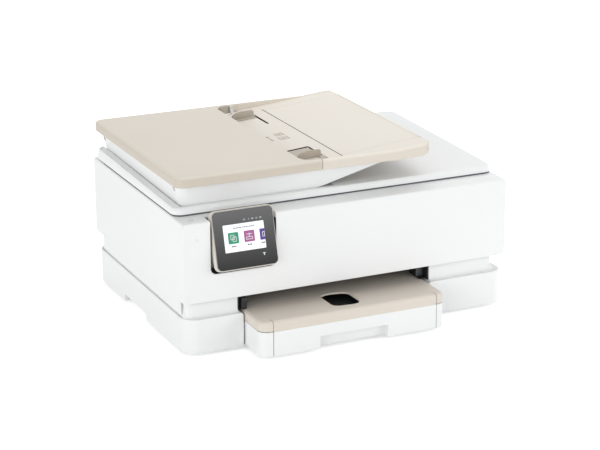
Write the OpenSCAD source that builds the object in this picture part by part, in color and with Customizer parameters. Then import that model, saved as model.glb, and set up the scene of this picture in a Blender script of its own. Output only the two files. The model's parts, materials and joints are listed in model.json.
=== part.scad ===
// All-in-one inkjet printer with a flatbed scanner, a document feeder and a paper drawer.
// Modelled in millimetres: +X to the right, +Y to the back, +Z up, standing on its rubber feet.

/* [Casing] */
// Width of the casing
body_w = 460; // [450:1:480]
// Depth of the upper housing
body_d = 332; // [328:1:345]
// Height of the base casing
base_h = 46; // [45:0.5:49]
// Height of the recessed neck above the base
neck_h = 20; // [19:0.5:22]
// Height of the upper housing
upper_h = 105; // [104:1:118]
// Gap between the neck and the upper housing
split_gap = 2; // [1:0.1:3]
// Wall thickness of the mouldings
wall = 2.5; // [2:0.1:3]
// Corner radius of the base in plan
base_r = 20; // [14:1:26]
// How far the neck stands in at the front
neck_in = 8; // [6:0.5:9]
// How far the neck stands in on the right
neck_side = 10.5; // [8:0.5:12]
// Depth of the ledge behind the neck
rear_ledge = 28; // [26:1:32]
// Height of the rubber feet
foot_h = 4; // [3:0.5:6]
// Radius of the rubber feet
foot_r = 9; // [7:0.5:11]

/* [Lid and feeder] */
// Lid thickness at the front
lid_front_h = 8.5; // [8:0.5:11]
// Lid thickness at the back
lid_back_h = 14; // [12:0.5:18]
// Radius of the soft top edges of the cover and the tray
soft_r = 4; // [3:0.5:4.5]
// Gap between the lid and the upper housing
lid_gap = 2; // [1.8:0.1:2.6]
// How far the lid stands back from the front
lid_setback = 33; // [31:1:36]
// Height from the seat of the feeder to its rim
feeder_h = 30; // [29:1:36]
// Height of the band round the feeder cover
cover_h = 13; // [12:0.5:15]
// Right edge of the feeder cover's top, from the left side
cover_edge = 180; // [174:1:184]
// Seam between the cover and the input tray, from the left side
seam_x = 203; // [200:1:206]
// Right end of the input tray, from the left side
tray_end = 364; // [355:1:380]
// Width of the rims beside the paper
rim_w = 7; // [6:0.5:8]
// Slope of the input tray in degrees
tray_slope = 5; // [4:0.5:6]

/* [Drawer] */
// Left edge of the drawer bay, from the left side
bay_x = 79.5; // [78:0.5:82]
// Width of the drawer bay
bay_w = 266.5; // [262:0.5:268]
// How far the drawer stands proud of the front
drawer_proud = 51; // [40:1:60]
// Height of the white drawer front
face_h = 34; // [33:0.5:36]
// Top of the beige output cover above the base's underside
output_z = 47.5; // [46:0.5:49]
// Running gap beside the drawer
drawer_gap = 2; // [1:0.5:2.5]
// Widest sheet that the drawer holds
paper_w = 216; // [210:1:218]

/* [Control panel] */
// Width of the glass bezel
panel_w = 81.5; // [76:0.5:86]
// Height of the glass bezel
panel_h = 73.5; // [70:0.5:76]
// Left edge of the bezel, from the left side
panel_x = 40.2; // [38:0.2:60]
// Tilt of the panel as it stands
panel_tilt = 15.8; // [5:0.1:20]
// Thickness of the panel
panel_t = 11; // [10:0.5:12]

/* [Mechanism] */
// Width of the ink carriage
carriage_w = 92; // [90:1:96]
// Radius of the carriage rod
rod_r = 4; // [3.5:0.1:5]
// Module of the feed gears
gear_m = 1; // [0.9:0.05:1]
// Teeth on the feed and eject gears
gear_n = 36; // [34:1:36]
// Running clearance of a shaft in its bore
fit = 0.05; // [0.03:0.01:0.1]

/* [Hidden] */
$fn = 64;

white = "#f2f4f3";
beige = "#dfd5c6";
steel = "#b4b8bb";
black = "#26282a";
grey = "#6d7073";

// Levels, measured from the underside of the base
neck_top = base_h + neck_h;
upper_z = neck_top + split_gap;
upper_top = upper_z + upper_h;
lid_z = upper_top + lid_gap;
seat_z = lid_z + 6;
feeder_top = seat_z + feeder_h;
cover_top = feeder_top + cover_h;

// Plan of the base and its neck, measured from the left side and the front panel
base_front = -1;
base_back = body_d - 3;
neck_left = 0.6;
neck_right = body_w - neck_side;
neck_back = body_d - rear_ledge;
neck_r = 15;
foot_in = 34;
cove_r = 5;
skirt_gap = 1;
skirt_front = neck_r + 1;
skirt_drop = neck_h - split_gap;
neck_bore_left = 2 * wall + skirt_gap;
grip_back = base_back - 107;
grip_front = grip_back - 82;
board_z = wall + 7.5;
inlet_x = 55;
inlet_z = wall + 18;
usb_x = body_w - 69;
usb_z = board_z + 8;

// Plan of the lid and the feeder
lid_edge = 1;
lid_back = body_d - 4;
cover_left = 3.5;
cover_front = lid_setback - 6;
cover_back = body_d + 8;
cover_r = 12;
feeder_mid = (cover_front + cover_back) / 2;
feeder_draft = 6;
feeder_left = cover_left + 5.5;
feeder_front = cover_front + 11;
feeder_back = cover_back - 8;
tray_seam = seam_x + 0.6;
bin_left = seam_x - 4;
bin_right = body_w - 40;
fin_start = seam_x - 18;
fin_bend = fin_start + 25;
fin_rise = 0.275;
fin_end = fin_bend + (feeder_h - fin_rise * (fin_bend - fin_start) / 2) / fin_rise;
turn_x = feeder_left + 43;
turn_z = feeder_top - 12;
exit_x = cover_edge - 20;
exit_z = seat_z + 12.5;
pick_x = cover_edge - 30;

// Whole footprint
front_y = -drawer_proud;
mid_y = (front_y + cover_back) / 2;

// Drawer
drawer_left = bay_x + drawer_gap;
drawer_right = bay_x + bay_w - drawer_gap;
drawer_mid = (drawer_left + drawer_right) / 2;
drawer_back = neck_back - 46;
drawer_r = 13;
front_left_seam = drawer_left + 17;
front_right_seam = drawer_right - 14;
lip_r = 5;
lip_w = 10;
notch_w = 96;
notch_left = drawer_left + 82;
photo_left = drawer_mid - 62;
photo_right = drawer_mid + 60;

// Mechanism
rod_y = neck_back - 112;
rod_z = neck_top + 26;
plate_t = 1.2;
plate_left = 28;
plate_mid = bay_x + bay_w + wall + 0.5;
plate_right = body_w - 29.2;
plate_front = rod_y - 100;
plate_back = rod_y + 24;
plate_top = rod_z + 36;
shaft_r = 3.5;
gear_r = gear_m * gear_n / 2;
idler_n = 24;
idler_r = gear_m * idler_n / 2;
motor_n = 16;
motor_gear_r = gear_m * motor_n / 2;
gear_z = base_h + 3;
feed_y = rod_y - 20;
idler_y = feed_y - gear_r - idler_r;
eject_y = idler_y - gear_r - idler_r;
cheek_back = eject_y - 24;
cover_len = eject_y - 16;
feed_r = 7;
eject_r = 5.5;
gear_left = plate_left - 9;
gear_w = 7;
feed_motor_y = feed_y + (gear_r + motor_gear_r) * cos(45);
feed_motor_z = gear_z + (gear_r + motor_gear_r) * sin(45);
beam_y = rod_y + 20;
belt_y = rod_y + 11;
belt_w = 6;
belt_z = rod_z + 12;
pulley_r = 6;
pulley_left = plate_left + 18;
pulley_right = body_w - 48;
carriage_x = plate_right - 2.8 - carriage_w;
carriage_y = rod_y - 76;
carriage_z = base_h + 16;
carriage_top = rod_z + 34;

// Hinges
unit_axis_y = body_d - 14;
unit_axis_z = upper_z + 5;
unit_pin_r = 3;
unit_posts = [96, body_w - 116];
unit_post_w = 20;
lid_axis_y = lid_back - 2;
lid_axis_z = upper_top + 4;
lid_pin_r = 2;
lid_posts = [74, body_w - 90];
lid_post_w = 16;
panel_axis_y = 12;
panel_axis_z = upper_top - 8;
panel_pin_r = 2;
pocket_gap = 2.6;
pocket_left = panel_x - 1.5 - pocket_gap;
pocket_right = panel_x + panel_w + 1.5 + pocket_gap;
panel_top = upper_top + 6.5;
panel_low = panel_top - panel_h;
display_x = panel_x + 12.1;
display_w = 55.4;
display_low = panel_low + 21.4;
display_h = 34.6;
pocket_low = panel_low - 3;
pocket_depth = 25;
cover_axis_x = 21;
cover_axis_z = feeder_top - 5;
cover_pin_r = 1.8;
tray_axis_x = seam_x + 3;
tray_axis_z = cover_top - 3;
tray_pin_r = 1.5;
tray_ear_r = 2.3;

// Scanner, power button and lens in the upper housing
tub_in = 14;
tub_front = lid_setback + 3;
tub_back = body_d - 16;
strip_left = tub_in + 4;
glass_left = strip_left + 22.5;
glass_right = glass_left + 315.5;
glass_front = tub_front + 16;
glass_back = tub_back - 28;
rail_y = (tub_front + tub_back) / 2 + 4;
button_x = 15.8;
button_y = 13;
lens_x = 18.1;
lens_z = upper_top - 23;

// Input tray
floor_rise = tan(tray_slope);
flat_end = tray_end - 48;
flap_left = seam_x + 43;
flap_front = feeder_mid - 122;
flap_back = feeder_mid + 125;
flap_axis_x = tray_end - 2;
guide_left = seam_x - 13;
guide_right = seam_x + 20;
guide_slot = seam_x + 21;
guide_throw = 48;
foot_len = 38;
guide_half = paper_w / 2;
guide_post = min(16, (feeder_back - feeder_front) / 2 - guide_half - 23);
pinion_x = seam_x + 15;
rack_z = feeder_top - 3;
rack_t = 2.2;

function floor_z(x) = feeder_top + 0.5 + floor_rise * (x - cover_edge);

// Teeth of a straight gear: four points for each tooth
function gear_points(n, m) = [
    for (i = [0:n - 1], k = [0:3])
        let (pitch = 360 / n)
        let (angle = (i + [-0.25, -0.09, 0.09, 0.25][k]) * pitch)
        let (radius = n * m / 2 + [-1.15, 0.75, 0.75, -1.15][k] * m)
        [radius * cos(angle), radius * sin(angle)]
];

// Moves what is measured from the left side, the front panel and the underside
// of the base to the middle of the footprint, with the feet on the ground.
module place() {
    translate([-body_w / 2, -mid_y, foot_h]) children();
}

module block(x, y, z) {
    translate([x[0], y[0], z[0]]) cube([x[1] - x[0], y[1] - y[0], z[1] - z[0]]);
}

module plan(x, y, r) {
    translate([x[0] + r, y[0]]) square([x[1] - x[0] - 2 * r, y[1] - y[0]]);
    translate([x[0], y[0] + r]) square([x[1] - x[0], y[1] - y[0] - 2 * r]);
    for (px = [x[0] + r, x[1] - r], py = [y[0] + r, y[1] - r]) translate([px, py]) circle(r);
}

module slab(x, y, z, r) {
    translate([0, 0, z[0]]) linear_extrude(z[1] - z[0]) plan(x, y, r);
}

// Slab with rounded upright corners and a rounded top edge
module soft_slab(x, y, z, r, e) {
    hull() for (i = [0:4]) {
        inset = e * (1 - cos(22.5 * i));
        top = z[1] - e + e * sin(22.5 * i);
        slab([x[0] + inset, x[1] - inset], [y[0] + inset, y[1] - inset],
            [i == 0 ? z[0] : top - 0.01, top], r - inset, $fn = 40);
    }
}

// Waste outside a rounded edge along X; side is 1 for an edge that faces the back
module edge_x(x, y, z, r, side) {
    mid = y - side * r;
    difference() {
        block(x, [min(mid, y + side), max(mid, y + side)], [z - r, z + 1]);
        rod_x([x[0] - 1, x[1] + 1], mid, z - r, r);
    }
}

// Waste outside a rounded edge along Y; side is 1 for an edge that faces right
module edge_y(x, y, z, r, side) {
    mid = x - side * r;
    difference() {
        block([min(mid, x + side), max(mid, x + side)], y, [z - r, z + 1]);
        rod_y(mid, [y[0] - 1, y[1] + 1], z - r, r);
    }
}

// Section of the waste outside a soft edge, inwards and upwards from its corner
function waste_section(r) = concat(
    [[-1, 1], [-1, -r]],
    [for (a = [0:15:90]) [r * (1 - cos(a)), r * (sin(a) - 1)]],
    [[r, 1]]
);

// Waste of a soft edge along X in flat cuts; side is 1 for an edge that faces the back
module soft_waste(x, y, z, r, side) {
    translate([0, y, z]) along_x(x) polygon([for (p = waste_section(r)) [-side * p[0], p[1]]]);
}

module rod_x(x, y, z, r) {
    translate([x[0], y, z]) rotate([0, 90, 0]) cylinder(r = r, h = x[1] - x[0]);
}

module rod_y(x, y, z, r) {
    translate([x, y[0], z]) rotate([-90, 0, 0]) cylinder(r = r, h = y[1] - y[0]);
}

// Extrudes an outline drawn in (y, z) along X
module along_x(x) {
    translate([x[0], 0, 0]) rotate([90, 0, 90]) linear_extrude(x[1] - x[0]) children();
}

// Extrudes an outline drawn in (x, z) along Y
module along_y(y) {
    translate([0, y[1], 0]) rotate([90, 0, 0]) linear_extrude(y[1] - y[0]) children();
}

module gear_x(x, y, z, n, m, bore) {
    translate([x[0], y, z]) rotate([90, 0, 90]) difference() {
        linear_extrude(x[1] - x[0]) polygon(gear_points(n, m));
        if (bore > 0) translate([0, 0, -1]) cylinder(r = bore, h = x[1] - x[0] + 2);
    }
}

// ---------------------------------------------------------------- base

module lift_notch(x0) {
    block([x0, x0 + 13], [grip_front - 3, grip_back + 3], [wall, wall + 9]);
}

// Concave foot of the neck on the ledge, at the front and on the right
module neck_cove() {
    intersection() {
        union() {
            along_x([neck_left + neck_r, neck_right - neck_r]) difference() {
                translate([neck_in - cove_r, base_h - 1]) square([cove_r + 1, cove_r + 1]);
                translate([neck_in - cove_r, base_h + cove_r]) circle(cove_r);
            }
            along_y([neck_in + neck_r, neck_back - neck_r]) difference() {
                translate([neck_right - 1, base_h - 1]) square([cove_r + 1, cove_r + 1]);
                translate([neck_right + cove_r, base_h + cove_r]) circle(cove_r);
            }
            translate([neck_right - neck_r, neck_in + neck_r, base_h]) rotate_extrude() difference() {
                translate([neck_r - 1, -1]) square([cove_r + 1, cove_r + 1]);
                translate([neck_r + cove_r, cove_r]) circle(cove_r);
            }
        }
        slab([0, body_w], [base_front, base_back], [base_h - 1, base_h + cove_r], base_r);
    }
}

module base_housing() {
    bay_right = bay_x + bay_w;
    color(white) place() difference() {
        union() {
            difference() {
                union() {
                    slab([0, body_w], [base_front, base_back], [0, base_h], base_r);
                    slab([neck_left, neck_right], [neck_in, neck_back], [base_h, neck_top], neck_r);
                    neck_cove();
                }
                slab([wall, body_w - wall], [base_front + wall, base_back - wall],
                    [wall, base_h - wall], base_r - wall);
                slab([neck_bore_left, neck_right - wall], [neck_in + wall, neck_back - wall],
                    [wall, neck_top + 1], neck_r - wall);
                block([-1, wall + skirt_gap], [skirt_front - skirt_gap, neck_back + 1],
                    [base_h, neck_top + 1]);
            }
            // Side walls of the drawer bay
            for (x = [bay_x - wall, bay_right]) {
                block([x, x + wall], [base_front + 1, neck_back - 14], [wall, base_h - wall]);
            }
            // Cheeks of the output opening, with the ledges that run in beside the drawer
            for (x = [bay_x - 2 * wall - 2, bay_right + 4]) {
                block([x, x + wall], [neck_in + 1, cheek_back], [base_h - wall, neck_top]);
            }
            block([bay_x - 2 * wall - 2, bay_x], [base_front + 1, cheek_back], [base_h - wall, base_h]);
            block([bay_right, bay_right + wall + 4], [base_front + 1, cheek_back], [base_h - wall, base_h]);
            // Pockets behind the lifting notches
            lift_notch(wall);
            lift_notch(body_w - wall - 13);
            // Screw bosses of the chassis plates
            for (x = [plate_left - 6, plate_right + 8], y = [plate_front + 10, plate_back - 10]) {
                translate([x, y, wall - 0.5]) cylinder(r = 3.5, h = 6.5);
            }
        }
        block([bay_x, bay_right], [base_front - 1, neck_in + wall + 1], [wall, neck_top + 1]);
        block([bay_x - wall - 2, bay_right + 4], [base_front - 1, neck_in + wall + 1],
            [base_h, neck_top + 1]);
        // Ledges rounded down into the bay
        edge_y(bay_x, [base_front - 1, cheek_back + 1], base_h, 4, 1);
        edge_y(bay_right, [base_front - 1, cheek_back + 1], base_h, 4, -1);
        block([-1, wall + 10.5], [grip_front, grip_back], [-1, wall + 6.5]);
        block([body_w - wall - 10.5, body_w + 1], [grip_front, grip_back], [-1, wall + 6.5]);
        block([inlet_x - 11, inlet_x + 11], [base_back - wall - 1, base_back + 1],
            [inlet_z - 6.5, inlet_z + 6.5]);
        block([usb_x - 7, usb_x + 7], [base_back - wall - 1, base_back + 1], [usb_z - 6, usb_z + 6]);
    }
}

module rubber_feet() {
    color(black) place()
        for (x = [foot_in, body_w - foot_in], y = [foot_in, base_back - foot_in]) {
            translate([x, y, -foot_h]) rotate_extrude()
                polygon([[0, 0], [foot_r - 1.5, 0], [foot_r - 0.5, 1], [foot_r, foot_h], [0, foot_h]]);
        }
}

module chassis_plate(x) {
    outline = [[plate_front, wall], [plate_back, wall], [plate_back, plate_top], [rod_y - 24, plate_top],
        [rod_y - 42, base_h + 16], [plate_front, base_h + 16]];
    along_x([x, x + plate_t]) polygon(outline);
}

module chassis() {
    color(steel) place() difference() {
        union() {
            chassis_plate(plate_left);
            chassis_plate(plate_right);
            along_x([plate_mid, plate_mid + plate_t])
                polygon([
                    [plate_front, wall], [plate_back, wall], [plate_back, gear_z + 8],
                    [plate_front, gear_z + 8]
                ]);
            // Rear beam with its folded top edge
            block([plate_left, plate_right + plate_t], [beam_y, beam_y + plate_t], [rod_z - 8, plate_top]);
            block([plate_left, plate_right + plate_t], [beam_y - 10, beam_y + plate_t],
                [plate_top - plate_t, plate_top]);
            // Cross bar under the platen and the pin of the idler pulley
            block([plate_left, plate_mid + plate_t], [idler_y - 16, idler_y + 16],
                [base_h - wall + 0.1, gear_z - 4.5]);
            rod_y(pulley_left, [belt_y - 2, beam_y + plate_t], belt_z, 2);
            // Feet folded out along the floor
            block([plate_left - 10, plate_left], [plate_front, plate_back], [wall + 6, wall + 6 + plate_t]);
            block([plate_right + plate_t, plate_right + 12], [plate_front, plate_back],
                [wall + 6, wall + 6 + plate_t]);
        }
        rod_x([0, body_w], rod_y, rod_z, rod_r + fit);
        rod_x([0, plate_mid + 5], feed_y, gear_z, shaft_r + fit);
        rod_x([0, plate_mid + 5], eject_y, gear_z, shaft_r + fit);
        rod_x([0, plate_left + 5], idler_y, gear_z, 2.5);
        rod_x([0, plate_left + 5], feed_motor_y, feed_motor_z, 4);
        rod_y(pulley_right, [beam_y - 1, beam_y + 3], belt_z, 4);
    }
}

module carriage_rod() {
    color("#c9ccce") place() rod_x([plate_left - 2, plate_right + plate_t + 2], rod_y, rod_z, rod_r);
}

module encoder_strip() {
    color(grey) place()
        block([plate_left + plate_t, plate_right], [beam_y - 3.4, beam_y - 3], [belt_z + 12, belt_z + 20]);
}

module belt_outline(r) {
    translate([pulley_left, belt_z]) circle(r);
    translate([pulley_right, belt_z]) circle(r);
    translate([pulley_left, belt_z - r]) square([pulley_right - pulley_left, 2 * r]);
}

module drive_belt() {
    color(black) place() along_y([belt_y, belt_y + belt_w]) difference() {
        belt_outline(pulley_r + 1.6);
        belt_outline(pulley_r + 0.3);
    }
}

module pulley(x, bore) {
    difference() {
        union() {
            rod_y(x, [belt_y - 0.8, belt_y + belt_w + 0.8], belt_z, pulley_r);
            rod_y(x, [belt_y - 1.8, belt_y - 0.6], belt_z, pulley_r + 2.4);
        }
        rod_y(x, [belt_y - 3, belt_y + belt_w + 3], belt_z, bore);
    }
}

module motor_pulley() {
    color("#c8a04a") place() pulley(pulley_right, 2 + fit);
}

module idler_pulley() {
    color(white) place() pulley(pulley_left, 2 + fit);
}

module carriage_motor() {
    color(grey) place() {
        rod_y(pulley_right, [beam_y + plate_t, beam_y + plate_t + 28], belt_z, 14);
        rod_y(pulley_right, [belt_y - 2, beam_y + plate_t + 1], belt_z, 2);
    }
}

module platen() {
    left = plate_left + plate_t + 3;
    rib_left = bay_x + 6;
    rib_right = bay_x + bay_w - 6;
    lining_left = bay_x - wall - 1.8;
    lining_right = bay_x + bay_w + 1.8;
    color(black) place() {
        block([left, plate_mid], [idler_y - 18, idler_y + 18], [gear_z - 4.5, gear_z - 1]);
        block([rib_left, rib_right], [idler_y - 20, idler_y + 20], [gear_z - 1, gear_z + 3]);
        for (i = [0:12]) {
            x = rib_left + 2 + i * (rib_right - rib_left - 6) / 12;
            block([x, x + 2], [idler_y - 19, idler_y + 19], [gear_z + 3, gear_z + 7]);
        }
        // Dark lining of the output opening
        for (x = [lining_left, lining_right]) {
            block([x, x + 2], [neck_in + 0.6, cheek_back], [base_h + 0.2, neck_top - 0.2]);
        }
        block([lining_right - 11, lining_right + 1], [neck_in + 12, neck_in + 28],
            [output_z + 0.6, neck_top - 6]);
        block([lining_right - 11, lining_right + 1], [neck_in + 2, neck_in + 13],
            [output_z + 0.6, output_z + 1.4]);
    }
}

module roller_set(y, r, left, right) {
    count = 4;
    width = 34;
    for (i = [0:count - 1]) {
        x = left + i * (right - left - width) / (count - 1);
        rod_x([x, x + width], y, gear_z, r);
    }
    rod_x([gear_left, plate_mid + plate_t + 2], y, gear_z, shaft_r);
}

module feed_roller() {
    color(grey) place() {
        roller_set(feed_y, feed_r, bay_x + 14, bay_x + bay_w - 14);
        gear_x([gear_left, gear_left + gear_w], feed_y, gear_z, gear_n, gear_m, 0);
    }
}

module eject_roller() {
    color(grey) place() {
        roller_set(eject_y, eject_r, bay_x + 14, bay_x + bay_w - 14);
        gear_x([gear_left, gear_left + gear_w], eject_y, gear_z, gear_n, gear_m, 0);
    }
}

module idler_gear() {
    turn = 360 / idler_n / 2;
    color(white) place() translate([0, idler_y, gear_z]) rotate([turn, 0, 0]) translate([0, -idler_y, -gear_z]) {
        gear_x([gear_left, gear_left + gear_w], idler_y, gear_z, idler_n, gear_m, 0);
        rod_x([gear_left + gear_w - 1, plate_left + plate_t + 2], idler_y, gear_z, 2.5 - fit);
    }
}

module feed_motor() {
    color(grey) place() {
        rod_x([plate_left + plate_t, plate_left + plate_t + 20], feed_motor_y, feed_motor_z, 15);
        rod_x([gear_left, plate_left + plate_t + 1], feed_motor_y, feed_motor_z, 1.5);
    }
}

module motor_gear() {
    // Turned so that a tooth falls in the gap of the feed gear nearest to 45 degrees
    pitch = 360 / gear_n;
    turn = (pitch / 2 - (45 % pitch)) * -gear_n / motor_n;
    color("#c8a04a") place() translate([0, feed_motor_y, feed_motor_z]) rotate([turn, 0, 0])
        gear_x([gear_left, gear_left + gear_w], 0, 0, motor_n, gear_m, 1.5 + fit);
}

module rear_paper_guide() {
    arc_y = drawer_back + 5;
    arc_z = face_h - 4;
    inner = gear_z + 2 - arc_z;
    left = bay_x + 4;
    right = bay_x + bay_w - 4;
    color(black) place() {
        along_x([left, right]) {
            difference() {
                translate([arc_y, arc_z]) circle(inner + wall);
                translate([arc_y, arc_z]) circle(inner);
                translate([arc_y - 40, 0]) square([40, 80]);
            }
            translate([feed_y + 14, arc_z + inner]) square([arc_y - feed_y - 14, wall]);
        }
        for (x = [left, right - wall]) {
            block([x, x + wall], [arc_y, arc_y + 8], [wall, arc_z - inner]);
        }
        // Lugs of the pick arm
        for (x = [drawer_mid - 24, drawer_mid + 20]) {
            difference() {
                block([x, x + 4], [pick_y - 4.5, pick_y + 4.5], [pick_z - 4.5, arc_z + inner + 1]);
                rod_x([x - 1, x + 5], pick_y, pick_z, 2.5 + fit);
            }
        }
    }
}

module power_inlet() {
    pins = [inlet_x - 4, inlet_x + 4];
    color(black) place() difference() {
        union() {
            block([inlet_x - 10.8, inlet_x + 10.8], [base_back - 20, base_back],
                [inlet_z - 6.3, inlet_z + 6.3]);
            for (x = pins) rod_y(x, [base_back - 27, base_back - 19], inlet_z, 2);
        }
        for (x = pins) rod_y(x, [base_back - 16, base_back + 1], inlet_z, 4.4);
        block(pins, [base_back - 16, base_back + 1], [inlet_z - 3.3, inlet_z + 3.3]);
    }
    color(steel) place()
        for (x = pins) rod_y(x, [base_back - 16, base_back - 4], inlet_z, 1.2);
}

module usb_port() {
    color(steel) place() difference() {
        block([usb_x - 6.8, usb_x + 6.8], [base_back - 18, base_back], [usb_z - 5.8, usb_z + 5.8]);
        block([usb_x - 5, usb_x + 5], [base_back - 12, base_back + 1], [usb_z - 4, usb_z + 4]);
    }
    color(white) place()
        block([usb_x - 2.5, usb_x + 2.5], [base_back - 12, base_back - 2], [usb_z - 1.5, usb_z + 1.5]);
}

module main_board() {
    left = plate_mid + 8;
    right = body_w - 22;
    front = plate_back + 8;
    back = base_back - 18.2;
    top = board_z + 1.6;
    color("#2f6b46") place() {
        block([left, right], [front, back], [board_z, top]);
        for (x = [left + 4, right - 4], y = [front + 4, back - 6]) {
            translate([x, y, wall]) cylinder(r = 2.5, h = board_z - wall);
        }
        block([left + 10, left + 30], [front + 26, front + 46], [top, top + 2.4]);
        block([right - 40, right - 8], [front + 12, front + 20], [top, top + 10.4]);
        block([left + 10, left + 24], [back - 29, back - 11], [top, top + 4.4]);
        for (y = [front + 32, front + 44, front + 56]) translate([right - 22, y, top]) cylinder(r = 4, h = 12);
    }
}

module power_supply() {
    front = plate_back + 12;
    back = neck_back - wall - 4;
    top = base_h + 6;
    color(grey) place() difference() {
        block([10, 72], [front, back], [wall, top]);
        for (i = [0:5]) block([20 + i * 7, 23 + i * 7], [front + 12, back - 17], [top - 2, top + 1]);
    }
}

module service_tub() {
    left = plate_mid + plate_t + 2.2;
    right = plate_right - 2;
    front = idler_y - 18;
    back = plate_back - 8;
    color(black) place() difference() {
        block([left, right], [front, back], [wall, gear_z + 1]);
        block([left + 2, right - 2], [front + 2, back - 2], [gear_z - 5, gear_z + 2]);
        block([left + 8, right - 8], [front + 8, back - 8], [wall + 5.5, gear_z + 2]);
    }
}

module service_sled() {
    left = plate_mid + plate_t + 4.6;
    right = plate_right - 4.4;
    cup_w = (right - left - 12) / 2;
    color(grey) place() {
        block([left, right], [idler_y - 2, feed_y + 10], [gear_z - 4.7, gear_z + 3]);
        for (x = [left + 1, right - 8 - cup_w]) {
            block([x, x + cup_w], [idler_y + 8, feed_y + 2], [gear_z + 3, gear_z + 9.5]);
        }
        block([left + 1, right - 4], [idler_y, idler_y + 2], [gear_z + 3, gear_z + 10]);
    }
}

module unit_hinge_posts() {
    color(white) place()
        for (x = unit_posts) {
            difference() {
                union() {
                    block([x, x + unit_post_w], [unit_axis_y - 9, unit_axis_y + 6.5], [base_h, unit_axis_z]);
                    rod_x([x, x + unit_post_w], unit_axis_y, unit_axis_z, 6.5);
                }
                rod_x([x - 1, x + unit_post_w + 1], unit_axis_y, unit_axis_z, unit_pin_r + fit);
            }
        }
}

// ---------------------------------------------------------------- ink carriage

cartridge_w = carriage_w / 2 - 4;
cartridge_low = carriage_z + 3;
cartridge_top = rod_z + 28;
latch_y = carriage_y + 23;
latch_z = cartridge_top + 3.4;

module ink_carriage() {
    mid = carriage_x + carriage_w / 2;
    color(black) place() difference() {
        union() {
            block([carriage_x, carriage_x + carriage_w], [carriage_y, rod_y - 10],
                [carriage_z, carriage_top]);
            block([carriage_x, carriage_x + carriage_w], [rod_y - 12, rod_y], [rod_z - 6, rod_z + 6]);
            rod_x([carriage_x, carriage_x + carriage_w], rod_y, rod_z, 8);
            block([mid - 10, mid + 10], [rod_y - 11, belt_y - 2.1], [rod_z, belt_z - 4]);
        }
        for (x = [carriage_x + 2, mid + 1]) {
            block([x, x + carriage_w / 2 - 3], [carriage_y + 2, rod_y - 12],
                [carriage_z + 3, carriage_top + 1]);
            block([x + 8, x + carriage_w / 2 - 11], [rod_y - 44, rod_y - 16],
                [carriage_z - 1, carriage_z + 4]);
        }
        block([carriage_x - 1, carriage_x + carriage_w + 1], [carriage_y - 1, carriage_y + 3],
            [rod_z + 8, carriage_top + 1]);
        rod_x([carriage_x - 1, carriage_x + carriage_w + 1], rod_y, rod_z, rod_r + fit);
        rod_x([carriage_x - 1, carriage_x + carriage_w + 1], latch_y, latch_z, 1.2 + fit);
    }
}

module cartridge(x) {
    place() {
        along_x([x, x + cartridge_w]) polygon([
            [carriage_y + 3, cartridge_low], [rod_y - 15, cartridge_low], [rod_y - 15, cartridge_top],
            [carriage_y + 16, cartridge_top], [carriage_y + 3, rod_z + 16]
        ]);
        block([x + 8, x + cartridge_w - 8], [rod_y - 41, rod_y - 19], [carriage_z - 1.5, cartridge_low]);
    }
}

module cartridge_black() {
    color(black) cartridge(carriage_x + 2.5);
}

module cartridge_colour() {
    color("#3c4a78") cartridge(carriage_x + carriage_w / 2 + 1.5);
}

module latch(x) {
    place() {
        block([x, x + cartridge_w - 1], [carriage_y + 1, latch_y], [latch_z - 1.5, latch_z + 1.5]);
        rod_x([x, x + cartridge_w - 1], latch_y, latch_z, 2.2);
        rod_x([x - 1.5, x + cartridge_w + 0.5], latch_y, latch_z, 1.2);
    }
}

module latch_left() {
    color(grey) latch(carriage_x + 3);
}

module latch_right() {
    color(grey) latch(carriage_x + carriage_w / 2 + 2);
}

// ---------------------------------------------------------------- paper pick arm

pick_y = rod_y + 8;
pick_z = gear_z - 3.5;
pick_len = 34;

module pick_arm() {
    color(black) place() difference() {
        union() {
            for (x = [drawer_mid - 14, drawer_mid + 11]) {
                block([x, x + 3], [pick_y - 4, pick_y + pick_len + 3], [pick_z - 3, pick_z + 3]);
            }
            block([drawer_mid - 14, drawer_mid + 14], [pick_y + 6, pick_y + 10], [pick_z - 3, pick_z + 3]);
            rod_x([drawer_mid - 24, drawer_mid + 24], pick_y, pick_z, 2.5);
        }
        rod_x([drawer_mid - 20, drawer_mid + 20], pick_y + pick_len, pick_z, 1.5 + fit);
    }
}

module pick_roller() {
    color(grey) place() {
        rod_x([drawer_mid - 9, drawer_mid + 9], pick_y + pick_len, pick_z, 4.5);
        rod_x([drawer_mid - 14, drawer_mid + 14], pick_y + pick_len, pick_z, 1.5);
    }
}

// ---------------------------------------------------------------- upper unit

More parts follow.
